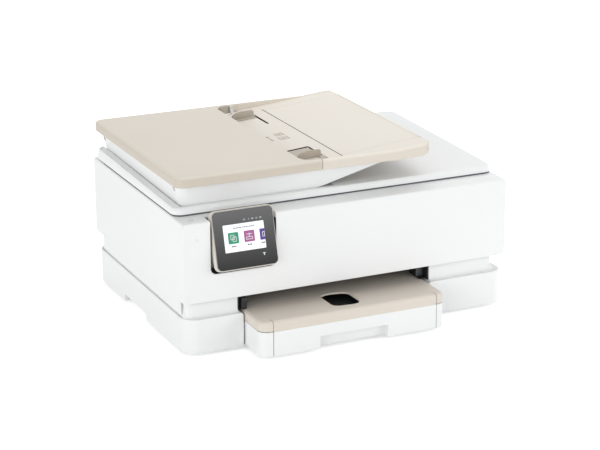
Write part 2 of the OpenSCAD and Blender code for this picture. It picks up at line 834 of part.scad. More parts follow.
module upper_housing() {
    glass_y = [glass_front + 4, glass_back - 4];
    color(white) place() difference() {
        union() {
            difference() {
                block([0, body_w], [3, body_d], [upper_z, upper_top]);
                block([wall, body_w - wall], [2, body_d - wall], [upper_z - 1, upper_top - wall]);
            }
            // Skirt that runs down beside the neck on the left
            block([0, wall], [skirt_front, neck_back - 1], [upper_z - skirt_drop, upper_z + 1]);
            // Pocket of the control panel
            block([pocket_left - wall, pocket_right + wall], [3, pocket_depth + wall],
                [pocket_low - wall, upper_top]);
            // Ears of the rear hinge
            for (x = unit_posts, side = [0, 1]) {
                ear = side == 0 ? x - 4 : x + unit_post_w + 0.5;
                block([ear, ear + 3.5], [unit_axis_y - 6, body_d - 1], [upper_z, unit_axis_z + 6]);
            }
            for (x = unit_posts) {
                rod_x([x - 1, x + unit_post_w + 1], unit_axis_y, unit_axis_z, unit_pin_r);
            }
            // Posts of the lid's hinge
            for (x = lid_posts) {
                block([x, x + lid_post_w], [lid_axis_y - 3.8, lid_axis_y + 3.8], [upper_top - 1, lid_axis_z]);
                rod_x([x, x + lid_post_w], lid_axis_y, lid_axis_z, 3.8);
            }
        }
        for (x = lid_posts) {
            rod_x([x - 1, x + lid_post_w + 1], lid_axis_y, lid_axis_z, lid_pin_r + fit);
        }
        block([pocket_left, pocket_right], [2, pocket_depth], [pocket_low, upper_top - wall]);
        block([pocket_left, pocket_right], [2, 21], [upper_top - wall - 1, upper_top + 1]);
        rod_x([pocket_left - wall - 1, pocket_right + wall + 1], panel_axis_y, panel_axis_z,
            panel_pin_r + fit);
        block([glass_left + 3.5, glass_right - 4], glass_y, [upper_top - wall - 1, upper_top + 1]);
        block([strip_left + 4, glass_left - 2.5], glass_y, [upper_top - wall - 1, upper_top + 1]);
        translate([button_x, button_y, upper_top - wall - 1]) cylinder(r = 5 + fit, h = wall + 2);
        edge_y(0, [-1, body_d + 1], upper_top, 2.4, -1);
        edge_y(body_w, [-1, body_d + 1], upper_top, 2.4, 1);
    }
}

module front_fascia() {
    color(white) place() difference() {
        block([0, body_w], [0, 3], [upper_z, upper_top]);
        translate([0, 4, 0]) along_y([-5, 0]) plan([pocket_left, pocket_right],
            [pocket_low, upper_top + 20], 8);
        rod_y(lens_x, [-1, 4], lens_z, 2.2);
        edge_x([-1, body_w + 1], 0, upper_top, 2.6, -1);
        edge_y(0, [-1, 4], upper_top, 2.4, -1);
        edge_y(body_w, [-1, 4], upper_top, 2.4, 1);
    }
}

module scanner_tub() {
    low = upper_top - 25;
    color(black) place() difference() {
        block([tub_in, body_w - tub_in], [tub_front, tub_back], [low, upper_top - wall]);
        block([tub_in + 2, body_w - tub_in - 2], [tub_front + 2, tub_back - 2], [low + 2, upper_top]);
        rod_x([0, body_w], rail_y, low + 7, 3);
    }
}

module scanner_glass() {
    color("#a9c4c8") place()
        for (x = [[glass_left, glass_right], [strip_left, glass_left - 0.5]]) {
            block(x, [glass_front, glass_back], [upper_top - wall - 2.8, upper_top - wall]);
        }
}

module scan_rod() {
    color(steel) place() rod_x([tub_in, body_w - tub_in], rail_y, upper_top - 18, 3);
}

module scan_bar() {
    bar = [strip_left + 1, strip_left + 25];
    color(grey) place() difference() {
        union() {
            block(bar, [glass_front + 10, glass_back - 10], [upper_top - 15, upper_top - 6]);
            block(bar, [rail_y - 12, rail_y + 12], [upper_top - 22.5, upper_top - 14]);
        }
        rod_x([bar[0] - 1, bar[1] + 1], rail_y, upper_top - 18, 3 + fit);
    }
}

module status_lens() {
    color("#ffffff") place() rod_y(lens_x, [0, 3], lens_z, 2.2);
}

module power_button() {
    color(white) place() {
        translate([button_x, button_y, upper_top - wall - 1.5]) cylinder(r = 5, h = wall + 2);
        translate([button_x, button_y, upper_top - wall - 1.5]) cylinder(r = 6.5, h = 1.5);
    }
}

// Turns the panel from flush with the fascia to the tilt that it stands at
module tilted() {
    place() translate([0, panel_axis_y, panel_axis_z]) rotate([-panel_tilt, 0, 0])
        translate([0, -panel_axis_y, -panel_axis_z]) children();
}

module panel_housing() {
    color(beige) tilted() {
        along_y([2, panel_t])
            plan([panel_x - 1.5, panel_x + panel_w + 1.5], [panel_low - 1.5, panel_top + 1.5], 7.5);
        rod_x([pocket_left - wall + 0.5, pocket_right + wall - 0.5], panel_axis_y, panel_axis_z, panel_pin_r);
        for (x = [pocket_left + 0.6, pocket_right - 4.6]) {
            rod_x([x, x + 4], panel_axis_y, panel_axis_z, 4);
        }
    }
}

module panel_bezel() {
    color("#3b3c3e") tilted() difference() {
        along_y([0, 2]) plan([panel_x, panel_x + panel_w], [panel_low, panel_top], 6);
        along_y([-1, 1]) plan([display_x - 0.1, display_x + display_w + 0.1],
            [display_low - 0.1, display_low + display_h + 0.1], 0.8);
    }
}

module panel_display() {
    color("#eef2f6") tilted() along_y([0.2, 1])
        plan([display_x, display_x + display_w], [display_low, display_low + display_h], 0.8);
}

// ---------------------------------------------------------------- lid

module lid_base() {
    right = body_w - lid_edge;
    color(white) place() difference() {
        hull() {
            slab([lid_edge, right], [lid_setback, lid_back], [lid_z, lid_z + 5], 13, $fn = 32);
            for (x = [lid_edge + 14, right - 14]) {
                translate([x, lid_setback + 15, lid_z]) cylinder(r = 12.5, h = lid_front_h, $fn = 32);
                translate([x, lid_back - 15, lid_z]) cylinder(r = 12.5, h = lid_back_h, $fn = 32);
            }
        }
        // Seat of the feeder and the groove round it
        block([cover_left + 9, bin_left + 28], [feeder_front + 4, lid_back + 1], [seat_z, lid_z + 30]);
        // Output bin: its floor falls towards the feeder
        along_y([lid_setback + 22, lid_back + 1]) polygon([
            [bin_left, lid_z + 4], [bin_left + 41, lid_z + 4.5], [bin_right, lid_z + 11.5],
            [bin_right, lid_z + 30], [bin_left, lid_z + 30]
        ]);
        for (x = lid_posts) {
            block([x - 1, x + lid_post_w + 1], [lid_axis_y - 7, lid_back + 1], [lid_z - 1, lid_z + 30]);
            rod_x([x - 8, x + lid_post_w + 8], lid_axis_y, lid_axis_z, lid_pin_r);
        }
    }
}

module lid_hinge_pins() {
    color(steel) place()
        for (x = lid_posts) rod_x([x - 8, x + lid_post_w + 8], lid_axis_y, lid_axis_z, lid_pin_r);
}

module document_pad() {
    color("#fbfbfb") place() block([glass_left + 6.5, glass_right - 7], [glass_front + 7, glass_back - 7],
        [upper_top - wall + 0.4, lid_z]);
}

// Outline of the feeder's moulding, drawn in by the draft at its foot
module feeder_shell(inset, right) {
    hull() {
        slab([feeder_left + feeder_draft + inset, right], [feeder_front + feeder_draft + inset,
            feeder_back - feeder_draft - inset], [seat_z, seat_z + 0.5], 14, $fn = 32);
        slab([feeder_left + inset, right], [feeder_front + inset, feeder_back - inset],
            [feeder_top - 0.5, feeder_top], 14, $fn = 32);
    }
}

module feeder_housing() {
    // Underside of the side fins: a curve that leaves the seat gently, then a straight rise
    bow = fin_bend - fin_start;
    fin_low = [for (i = [0:6]) let (d = bow * i / 6) [fin_start + d, seat_z + fin_rise * d * d / (2 * bow)]];
    color(white) place() difference() {
        union() {
            intersection() {
                feeder_shell(0, fin_end + 20);
                block([0, fin_end + 2], [0, cover_back], [seat_z, feeder_top]);
            }
            // Ears that carry the input tray
            for (y = [cover_front + rim_w + 1, cover_back - rim_w - 4]) {
                block([tray_axis_x - tray_ear_r, tray_axis_x + tray_ear_r], [y, y + 3],
                    [feeder_top - 4, tray_axis_z]);
                rod_y(tray_axis_x, [y, y + 3], tray_axis_z, tray_ear_r);
            }
        }
        // Well of the rollers, open to the right between the fins
        block([cover_axis_x, fin_end + 3], [feeder_front + 9, feeder_back - 9], [seat_z + 3, feeder_top + 1]);
        block([cover_axis_x - 4.5, cover_axis_x + 9], [feeder_front + 9, feeder_back - 9],
            [feeder_top - 14, feeder_top + 1]);
        block([bin_left, fin_end + 3], [feeder_front + 9, feeder_back - 9], [seat_z - 1, feeder_top + 1]);
        // Ways for the arms of the cover
        for (y = [feeder_front + 15, feeder_back - 21]) {
            block([0, cover_axis_x + 9], [y, y + 6], [feeder_top - 10, feeder_top + 1]);
        }
        along_y([0, cover_back]) polygon(concat(fin_low, [
            [fin_end, feeder_top], [fin_end + 3, feeder_top], [fin_end + 3, seat_z - 1],
            [fin_start, seat_z - 1]
        ]));
        for (y = [cover_front, cover_back - rim_w - 5]) {
            rod_y(tray_axis_x, [y, y + rim_w + 5], tray_axis_z, tray_pin_r + fit);
        }
    }
}

module feeder_frame() {
    front = feeder_front + 12;
    back = feeder_back - 12;
    left = cover_axis_x + 1;
    right = cover_edge - 2;
    color(black) place() difference() {
        union() {
            block([left, bin_left - 4], [front, back], [seat_z + 3, seat_z + 6]);
            for (y = [front, back - 3]) {
                block([left, right], [y, y + 3], [seat_z + 3, feeder_top - 2.5]);
                block([cover_axis_x - 4, cover_axis_x + 9], [y, y + 3], [feeder_top - 13.5, feeder_top - 1]);
            }
            block([turn_x + 18, right], [front, back], [feeder_top - 5.5, feeder_top - 2.5]);
        }
        for (y = [front - 1, back - 4]) {
            rod_y(cover_axis_x, [y, y + 5], cover_axis_z, cover_pin_r + fit);
            rod_y(turn_x, [y, y + 5], turn_z, 3 + fit);
            rod_y(exit_x, [y, y + 5], exit_z, 2 + fit);
        }
        block([pick_x - 12, pick_x + 12], [feeder_mid - 18, feeder_mid + 18], [feeder_top - 6, feeder_top]);
    }
}

// Shaft along Y in the feeder with a row of rubber rollers
module feeder_shaft(x, z, shaft, radius, width, margin, count) {
    front = feeder_front + 10;
    back = feeder_back - 10;
    pitch = (feeder_back - feeder_front - 2 * margin - width) / (count - 1);
    color(grey) place() {
        rod_y(x, [front, back], z, shaft);
        for (i = [0:count - 1]) {
            y = feeder_front + margin + i * pitch;
            rod_y(x, [y, y + width], z, radius);
        }
    }
}

module feeder_turn_roller() {
    feeder_shaft(turn_x, turn_z, 3, 9.5, 26, 29, 4);
}

module feeder_exit_roller() {
    feeder_shaft(exit_x, exit_z, 2, 4.5, 18, 54, 3);
}

module feeder_cover() {
    front = [cover_front, cover_back];
    inner = [cover_front + rim_w, cover_back - rim_w];
    color(beige) place() {
        difference() {
            soft_slab([cover_left, seam_x + 30], front, [feeder_top + 0.3, cover_top], cover_r, soft_r);
            block([seam_x, seam_x + 31], [0, cover_back + 1], [feeder_top - 1, cover_top + 1]);
            slab([cover_left + 2.5, seam_x + 60], [cover_front + 2.5, cover_back - 2.5],
                [feeder_top - 1, cover_top - 2.5], cover_r - 2.5);
            slab([cover_edge, seam_x + 60], inner, [feeder_top - 1, cover_top + 1], 18);
        }
        // Rims beside the paper
        for (y = [cover_front + 2, cover_back - rim_w]) {
            block([cover_edge - 18, seam_x], [y, y + rim_w - 2], [feeder_top + 0.3, cover_top - 2.5]);
        }
        // Arms of the cover's hinge
        for (y = [feeder_front + 16, feeder_back - 20]) {
            block([cover_axis_x - 3.2, cover_axis_x + 3.2], [y, y + 4], [cover_axis_z, cover_top - 2.5]);
            rod_y(cover_axis_x, [y, y + 4], cover_axis_z, 3.2);
        }
        rod_y(cover_axis_x, [feeder_front + 11, feeder_front + 17], cover_axis_z, cover_pin_r);
        rod_y(cover_axis_x, [feeder_back - 17, feeder_back - 11], cover_axis_z, cover_pin_r);
        // Lugs of the pick roller
        for (y = [feeder_mid - 16, feeder_mid + 13]) {
            difference() {
                block([pick_x - 4, pick_x + 4], [y, y + 3], [feeder_top - 0.5, cover_top - 2.5]);
                rod_y(pick_x, [y - 1, y + 4], feeder_top + 3, 1.5 + fit);
            }
        }
    }
}

module feeder_pick_roller() {
    color(grey) place() {
        rod_y(pick_x, [feeder_mid - 12, feeder_mid + 12], feeder_top + 3, 6);
        rod_y(pick_x, [feeder_mid - 16, feeder_mid + 16], feeder_top + 3, 1.5);
    }
}

// ---------------------------------------------------------------- input tray

module tray_profile() {
    polygon([
        [tray_seam, feeder_top], [tray_end - 30, feeder_top], [tray_end - 14, feeder_top + 1],
        [tray_end - 6, feeder_top + 3.2], [tray_end - 1.6, feeder_top + 6.6], [tray_end, feeder_top + 10.5],
        [tray_end, floor_z(tray_end) + 0.6], [flat_end, cover_top], [tray_seam + 3, cover_top],
        [tray_seam, tray_axis_z]
    ]);
}

// Opening at the end of the front guide's foot, which meets the slot of the guide
module foot_groove() {
    y = feeder_mid - guide_half + foot_len;
    block([guide_left + 5, guide_slot + 3], [y + 1, y + 8], [feeder_top - 2, 400]);
}

module input_tray() {
    front = [cover_front, cover_back];
    inner = [cover_front + rim_w, cover_back - rim_w];
    slot_gap = 0.6;
    color(beige) place() {
        difference() {
            intersection() {
                along_y(front) tray_profile();
                slab([0, tray_end], front, [0, 400], 16);
            }
            // Soft edges: level beside the seam, then rising with the floor
            for (side = [-1, 1]) {
                edge = side < 0 ? cover_front : cover_back;
                soft_waste([tray_seam - 1, flat_end + 0.2], edge, cover_top, soft_r, side);
                translate([flat_end, 0, cover_top]) rotate([0, -tray_slope, 0])
                    soft_waste([-0.2, 60], edge, 0, soft_r, side);
            }
            translate([tray_end, 0, floor_z(tray_end) + 0.6]) along_y([0, cover_back + 1])
                polygon([for (p = waste_section(3)) [-p[0], p[1]]]);
            // Paper floor between the rims
            along_y(inner) polygon([
                [tray_seam - 1, floor_z(tray_seam - 1)], [tray_end + 1, floor_z(tray_end + 1)],
                [tray_end + 1, 400], [tray_seam - 1, 400]
            ]);
            // Hollow underside
            along_y([cover_front + 3, cover_back - 3]) polygon([
                [tray_seam + 3, 0], [tray_seam + 3, floor_z(tray_seam + 3) - 2.5],
                [tray_end - 6, floor_z(tray_end - 6) - 4.5], [tray_end - 6, feeder_top + 6.6],
                [tray_end - 16, feeder_top + 3.2], [tray_end - 16, 0]
            ]);
            block([0, tray_axis_x + 8], [cover_front + 3, cover_back - 3], [0, feeder_top + 0.5]);
            // Seat of the flap
            along_y([flap_front - 0.4, flap_back + 0.4]) polygon([
                [flap_left - 0.8, floor_z(flap_left) - 2], [tray_end + 1, floor_z(tray_end + 1) - 2],
                [tray_end + 1, 400], [flap_left - 0.8, 400]
            ]);
            block([flap_axis_x - 3, tray_end + 1], [flap_front - 0.4, flap_back + 0.4],
                [floor_z(flap_axis_x) - 4, 400]);
            rod_y(flap_axis_x, [flap_front - 5, flap_back + 5], floor_z(flap_axis_x) - 1.2, 1.2 + fit);
            // Slots of the guides
            for (side = [-1, 1]) {
                outer = feeder_mid + side * (guide_half + guide_post + 2.5);
                inner_end = feeder_mid + side * (guide_half + guide_post - 8 - guide_throw - 4);
                block([guide_slot, guide_slot + 3], [min(outer, inner_end), max(outer, inner_end)], [0, 400]);
            }
            foot_groove();
            // Ways round the ears that carry the tray
            for (y = [cover_front + rim_w + 0.5, cover_back - rim_w - 4.5]) {
                block([tray_seam - 1, tray_axis_x + 9], [y, y + 4], [0, 400]);
            }
        }
        difference() {
            along_y([feeder_front + 10, feeder_back - 10]) polygon([
                [cover_edge + 3, floor_z(cover_edge + 3) - 1.6], [cover_edge + 3, floor_z(cover_edge + 3)],
                [tray_seam + 1, floor_z(tray_seam + 1)], [tray_seam + 1, floor_z(tray_seam + 1) - 2.3]
            ]);
            foot_groove();
        }
        // Ribs that stand on the fins of the feeder
        for (y = [feeder_front + 1, feeder_back - 8]) {
            along_y([y, y + 7]) polygon([
                [tray_axis_x + 12, feeder_top], [fin_end - 2, feeder_top],
                [fin_end - 2, floor_z(fin_end - 2) - 3],
                [tray_axis_x + 12, floor_z(tray_axis_x + 12) - 2]
            ]);
        }
        translate([pinion_x, feeder_mid, rack_z - 1]) cylinder(r = 1.5, h = floor_z(pinion_x) - 1.5 - rack_z);
        for (y = [[cover_front + 3, cover_front + rim_w + 4], [cover_back - rim_w - 4, cover_back - 3]]) {
            rod_y(tray_axis_x, y, tray_axis_z, tray_pin_r);
        }
    }
}

module tray_flap() {
    color(beige) place() {
        along_y([flap_front, flap_back]) polygon([
            [flap_left, floor_z(flap_left) - 1.8], [flap_axis_x, floor_z(flap_axis_x) - 1.8],
            [flap_axis_x, floor_z(flap_axis_x)], [flap_left, floor_z(flap_left)]
        ]);
        rod_y(flap_axis_x, [flap_front, flap_back], floor_z(flap_axis_x) - 1.2, 2);
        rod_y(flap_axis_x, [flap_front - 4.5, flap_back + 4.5], floor_z(flap_axis_x) - 1.2, 1.2);
    }
}

// A guide's foot lies on the tray's floor; its post goes through the slot to the rack below.
module guide_plate(x, y) {
    along_y(y) polygon([
        [x[0], floor_z(x[0]) + 0.2], [x[1], floor_z(x[1]) + 0.2],
        [x[1], floor_z(x[1]) + 1.1], [x[0], floor_z(x[0]) + 1.1]
    ]);
}

module guide_fence(y) {
    top = cover_top + 0.5;
    along_y(y) polygon([
        [guide_left, floor_z(guide_left) + 0.2], [guide_right, floor_z(guide_right) + 0.2],
        [guide_right, top - 2], [guide_right - 2, top], [guide_left + 14, top],
        [guide_left + 5, top - 2], [guide_left + 1, top - 5], [guide_left, top - 8]
    ]);
}

// Rack along Y with its teeth towards the pinion; side is 1 for teeth to the right
module rack(pitch_x, side, y, teeth) {
    inner = pitch_x - side * 1.15;
    outer = pitch_x - side * 5;
    first = ceil((teeth[0] + 1 - feeder_mid) / PI - 0.5);
    last = floor((teeth[1] - 1 - feeder_mid) / PI - 0.5);
    block([min(inner, outer), max(inner, outer)], y, [rack_z, rack_z + rack_t]);
    translate([0, 0, rack_z]) linear_extrude(rack_t)
        for (i = [first:last]) {
            mid = feeder_mid + (i + 0.5) * PI;
            polygon([[inner - side * 0.2, mid - 0.8], [pitch_x + side * 0.7, mid - 0.28],
                [pitch_x + side * 0.7, mid + 0.28], [inner - side * 0.2, mid + 0.8]]);
        }
}

module guide_front() {
    fence = feeder_mid - guide_half;
    post = [fence - guide_post, fence - guide_post + 8];
    color(beige) place() {
        guide_fence([fence - 2, fence]);
        guide_plate([guide_left, guide_right], [fence - 0.5, fence + foot_len]);
        guide_plate([guide_right - 5, guide_slot + 2.6], [min(post[0], fence - 3), max(post[1], fence - 1)]);
        block([guide_slot + 0.4, guide_slot + 2.6], post, [rack_z, floor_z(guide_slot) + 0.8]);
        block([pinion_x - 12, guide_slot + 2.6], post, [rack_z, rack_z + rack_t]);
        rack(pinion_x - 8, 1, [post[0], feeder_mid + 7], [feeder_mid - 62, feeder_mid + 7]);
    }
}

module guide_back() {
    fence = feeder_mid + guide_half;
    post = [fence + guide_post - 8, fence + guide_post];
    color(beige) place() {
        guide_fence([fence, fence + 2]);
        guide_plate([guide_left, guide_right], [fence - 9, fence + 0.5]);
        guide_plate([guide_right - 5, guide_slot + 2.6], [min(post[0], fence + 1), max(post[1], fence + 3)]);
        block([guide_slot + 0.4, guide_slot + 2.6], post, [rack_z, floor_z(guide_slot) + 0.8]);
        block([guide_slot + 0.4, pinion_x + 12], post, [rack_z, rack_z + rack_t]);
        rack(pinion_x + 8, -1, [feeder_mid - 7, post[1]], [feeder_mid - 7, feeder_mid + 62]);
    }
}

module guide_pinion() {
    color(white) place() translate([pinion_x, feeder_mid, rack_z]) difference() {
        linear_extrude(rack_t) polygon(gear_points(16, 1));
        translate([0, 0, -1]) cylinder(r = 1.5 + fit, h = rack_t + 2);
    }
}

// ---------------------------------------------------------------- drawer

module front_profile() {
    // Section of the beige lip: flat front, rounded top edge
    translate([front_y, face_h + 1]) square([lip_w, output_z - face_h - 1 - lip_r]);
    translate([front_y + lip_r, output_z - lip_r]) circle(lip_r);
    translate([front_y + lip_r, face_h + 1]) square([lip_w - lip_r, output_z - face_h - 1]);
}

module paper_drawer() {
    color(white) place() difference() {
        union() {
            slab([drawer_left, drawer_right], [front_y, front_y + 41], [1, face_h], drawer_r);
            block([drawer_left, drawer_right], [front_y + 21, drawer_back], [wall + 0.3, face_h]);
        }
        block([drawer_left + 3, drawer_right - 3], [front_y + 14, drawer_back - 3], [wall + 3.5, face_h + 1]);
        block([front_left_seam - 0.3, front_right_seam + 0.3], [front_y - 1, front_y + 15], [0, face_h + 1]);
        block([drawer_mid - 22, drawer_mid + 22], [drawer_back - 4, drawer_back + 1],
            [wall + 3.5, face_h + 1]);
        block([drawer_left - 1, drawer_right + 1], [base_front - 7, drawer_back + 1], [0, wall + 0.3]);
    }
}

module drawer_front() {
    left = front_left_seam + 0.2;
    right = front_right_seam - 0.2;
    color(white) place() difference() {
        block([left, right], [front_y, front_y + 13.8], [1, face_h]);
        block([left + 3, notch_left - 3], [front_y + 3, front_y + 15], [4, face_h + 1]);
        block([notch_left + notch_w + 3, right - 3], [front_y + 3, front_y + 15], [4, face_h + 1]);
        block([notch_left, notch_left + notch_w], [front_y - 1, front_y + 10], [0, 17.5]);
    }
}

module output_cover() {
    mid = (photo_left + photo_right) / 2;
    color(beige) place() difference() {
        union() {
            difference() {
                soft_slab([drawer_left, drawer_right], [front_y, cover_len + 30], [face_h + 1, output_z],
                    drawer_r, lip_r);
                block([0, body_w], [cover_len, cover_len + 31], [0, output_z + 1]);
                slab([drawer_left + 3, drawer_right - 3], [front_y + lip_w, cover_len + 31],
                    [0, output_z - 2.5], drawer_r - 3);
            }
            // Foot on the rim of the drawer, set in for a shadow line
            for (x = [drawer_left + 1, drawer_right - 3]) {
                block([x, x + 2], [front_y + drawer_r, cover_len], [face_h, output_z - 2]);
            }
            // Rails that carry the photo tray
            for (side = [-1, 1]) {
                edge = mid + side * ((photo_right - photo_left) / 2 + 0.3);
                block([min(edge, edge + side * 3), max(edge, edge + side * 3)], [front_y + 19, cover_len - 8],
                    [face_h + 0.4, output_z - 2]);
                block([min(edge - side * 3, edge + side), max(edge - side * 3, edge + side)],
                    [front_y + 19, cover_len - 8], [face_h + 0.4, face_h + 1.7]);
            }
        }
        // Window over the photo tray
        translate([photo_left, front_y, output_z - 6]) linear_extrude(8) polygon([
            [40, 26], [42, 21], [47, 18], [66, 16], [74, 17], [79, 23], [80, 30],
            [79.5, 54], [77, 59], [72, 62], [58, 64.5], [50, 64], [41, 60], [39.5, 56]
        ]);
        block([front_left_seam - 0.2, front_right_seam + 0.2], [front_y - 1, front_y + lip_w + 0.4], [0, 80]);
    }
}

// Front of the drawer's lip: it comes forward with the drawer front below it
module extender_lip() {
    left = front_left_seam + 0.2;
    right = front_right_seam - 0.2;
    runner = [front_y + 4, cover_len - 36];
    color(beige) place() {
        along_x([left, right]) front_profile();
        block([left, right], [front_y, front_y + lip_w], [face_h, face_h + 2]);
        block([left + 8, photo_left - 6], runner, [face_h + 0.5, face_h + 2.5]);
        block([photo_right + 6, right - 8], runner, [face_h + 0.5, face_h + 2.5]);
        block([left + 8, right - 8], [front_y + 4, front_y + 15], [face_h + 0.5, face_h + 1.7]);
    }
}

module photo_tray() {
    color(black) place() difference() {
        block([photo_left, photo_right], [front_y + 17, cover_len - 6], [face_h + 2, output_z - 4.5]);
        block([photo_left + 2.5, photo_right - 2.5], [front_y + 20, cover_len - 5], [face_h + 4, output_z]);
    }
}

// ---------------------------------------------------------------- assembly

base_housing();
rubber_feet();
chassis();
carriage_rod();
encoder_strip();
drive_belt();
carriage_motor();
motor_pulley();
idler_pulley();
platen();
feed_roller();
eject_roller();
idler_gear();
feed_motor();
motor_gear();
rear_paper_guide();
power_inlet();
usb_port();
main_board();
power_supply();
service_tub();
service_sled();
unit_hinge_posts();
ink_carriage();
cartridge_black();
cartridge_colour();
latch_left();
latch_right();
pick_arm();
pick_roller();
upper_housing();
front_fascia();
scanner_tub();
scanner_glass();
scan_rod();
scan_bar();
status_lens();
power_button();
panel_housing();
panel_bezel();
panel_display();
lid_base();
lid_hinge_pins();
document_pad();
feeder_housing();
feeder_frame();
feeder_cover();
feeder_pick_roller();
feeder_turn_roller();
feeder_exit_roller();
input_tray();
tray_flap();
guide_front();
guide_back();
guide_pinion();
paper_drawer();
output_cover();
drawer_front();
extender_lip();
photo_tray();
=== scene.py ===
import json
import math
import bmesh
import bpy
from mathutils import Matrix, Vector


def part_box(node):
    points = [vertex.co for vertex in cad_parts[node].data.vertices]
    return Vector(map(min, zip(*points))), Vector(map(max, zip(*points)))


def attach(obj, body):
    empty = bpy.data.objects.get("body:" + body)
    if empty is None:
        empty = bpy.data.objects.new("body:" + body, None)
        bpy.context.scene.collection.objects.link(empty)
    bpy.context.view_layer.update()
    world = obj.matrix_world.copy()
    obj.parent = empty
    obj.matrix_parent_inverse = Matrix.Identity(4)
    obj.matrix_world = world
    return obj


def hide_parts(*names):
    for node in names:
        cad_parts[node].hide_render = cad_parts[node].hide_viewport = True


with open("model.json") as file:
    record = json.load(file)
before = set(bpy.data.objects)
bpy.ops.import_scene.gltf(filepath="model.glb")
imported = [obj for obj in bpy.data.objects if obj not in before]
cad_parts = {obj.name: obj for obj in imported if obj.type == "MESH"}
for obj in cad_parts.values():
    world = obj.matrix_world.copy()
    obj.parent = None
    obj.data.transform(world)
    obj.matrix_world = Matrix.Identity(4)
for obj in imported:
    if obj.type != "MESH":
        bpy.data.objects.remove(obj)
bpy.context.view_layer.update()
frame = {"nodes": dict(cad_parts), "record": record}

MM = 0.001
SAME_POINT = 0.002 * MM     # points closer than this are merged
SOFT_ANGLE = 32             # degrees; faces that meet more sharply than this show an edge
UPRIGHT = 0.9               # part of a direction along an axis from which it counts as lying on it
SLOT = {part["node"]: part["material_slot"] for part in frame["record"]["subparts"]}
BODY = {node: body for body, nodes in frame["record"]["behaviour"]["bodies"].items() for node in nodes}
JOINT = {joint["name"]: joint for joint in frame["record"]["behaviour"]["joints"]}


# ------------------------------------------------------------------ materials
# Object coordinates are in metres, so a texture's scale counts its patches, lines or pits in a metre.

def linear(hex_colour):
    """Linear colour, with full alpha, of an sRGB hex value."""
    values = [int(hex_colour[i:i + 2], 16) / 255 for i in (1, 3, 5)]
    return [v / 12.92 if v <= 0.04045 else ((v + 0.055) / 1.055) ** 2.4 for v in values] + [1.0]


def add_node(tree, kind, settings=None, links=None):
    """A new node with its settings (sockets or properties) and the sockets linked into it."""
    node = tree.nodes.new(kind)
    for name, value in (settings or {}).items():
        if name in node.inputs:
            node.inputs[name].default_value = value
        else:
            setattr(node, name, value)
    for name, socket in (links or {}).items():
        tree.links.new(socket, node.inputs[name])
    return node


def shader_of(name, colour, rough, **settings):
    """A new material, its tree and its shader; a setting's name is the socket's, with _ for a space."""
    mat = bpy.data.materials.new(name)
    mat.use_nodes = True
    shader = mat.node_tree.nodes["Principled BSDF"]
    shader.inputs["Base Color"].default_value = linear(colour)
    shader.inputs["Roughness"].default_value = rough
    for key, value in settings.items():
        shader.inputs[key.replace("_", " ")].default_value = value
    return mat, mat.node_tree, shader


def blended(tree, pattern, low, high):
    """A colour between two tones, where a pattern runs from 0 to 1."""
    ramp = add_node(tree, "ShaderNodeValToRGB", None, {"Fac": pattern})
    ramp.color_ramp.elements[0].color = linear(low)
    ramp.color_ramp.elements[1].color = linear(high)
    return ramp.outputs["Color"]


def moulded(name, low, high, rough, grain_mm=0.45, bump=0.05, side=None):
    """Injection-moulded plastic: a fine spark-eroded grain, and a tone that drifts a little over the panel.
    With a side tone, upright walls are painted darker: a painted shade that stands in for the light they miss."""
    mat, tree, shader = shader_of(name, high, rough)
    coords = add_node(tree, "ShaderNodeTexCoord").outputs["Object"]
    drift = add_node(tree, "ShaderNodeTexNoise", {"Scale": 6.0, "Detail": 1.0}, {"Vector": coords})
    grain = add_node(tree, "ShaderNodeTexNoise", {"Scale": 1 / (grain_mm * MM), "Detail": 2.0}, {"Vector": coords})
    tone = blended(tree, drift.outputs["Fac"], low, high)
    # Painted shade: faces that turn from up to upright take the darker side tone
    if side:
        facing = add_node(tree, "ShaderNodeSeparateXYZ", None, {
            "Vector": add_node(tree, "ShaderNodeNewGeometry").outputs["Normal"]}).outputs["Z"]
        upright = add_node(tree, "ShaderNodeMapRange", {"From Min": 0.75, "From Max": 0.25}, {"Value": facing})
        walls = add_node(tree, "ShaderNodeMix", {"data_type": "RGBA"})
        factor, floor_tone, painted_shade_tone = (next(i for i in walls.inputs if i.identifier == key)
                                         for key in ("Factor_Float", "A_Color", "B_Color"))
        tree.links.new(upright.outputs["Result"], factor)
        tree.links.new(tone, floor_tone)
        painted_shade_tone.default_value = linear(side)
        tone = next(o for o in walls.outputs if o.identifier == "Result_Color")
    tree.links.new(tone, shader.inputs["Base Color"])
    gloss = add_node(tree, "ShaderNodeMapRange", {"To Min": rough - 0.05, "To Max": rough + 0.07},
                     {"Value": grain.outputs["Fac"]})
    tree.links.new(gloss.outputs["Result"], shader.inputs["Roughness"])
    relief = add_node(tree, "ShaderNodeBump", {"Strength": bump, "Distance": 0.05 * MM},
                      {"Height": grain.outputs["Fac"]})
    tree.links.new(relief.outputs["Normal"], shader.inputs["Normal"])
    return mat


def brushed(name, low, high, rough, lines):
    """Drawn or ground metal: grain stretched along the way that it was drawn, by its lines along x, y and z."""
    mat, tree, shader = shader_of(name, high, rough, Metallic=1.0)
    coords = add_node(tree, "ShaderNodeTexCoord").outputs["Object"]
    stretch = add_node(tree, "ShaderNodeMapping", {"Scale": lines}, {"Vector": coords})
    grain = add_node(tree, "ShaderNodeTexNoise", {"Scale": 1.0, "Detail": 3.0},
                     {"Vector": stretch.outputs["Vector"]})
    tree.links.new(blended(tree, grain.outputs["Fac"], low, high), shader.inputs["Base Color"])
    gloss = add_node(tree, "ShaderNodeMapRange", {"To Min": rough - 0.06, "To Max": rough + 0.12},
                     {"Value": grain.outputs["Fac"]})
    tree.links.new(gloss.outputs["Result"], shader.inputs["Roughness"])
    return mat


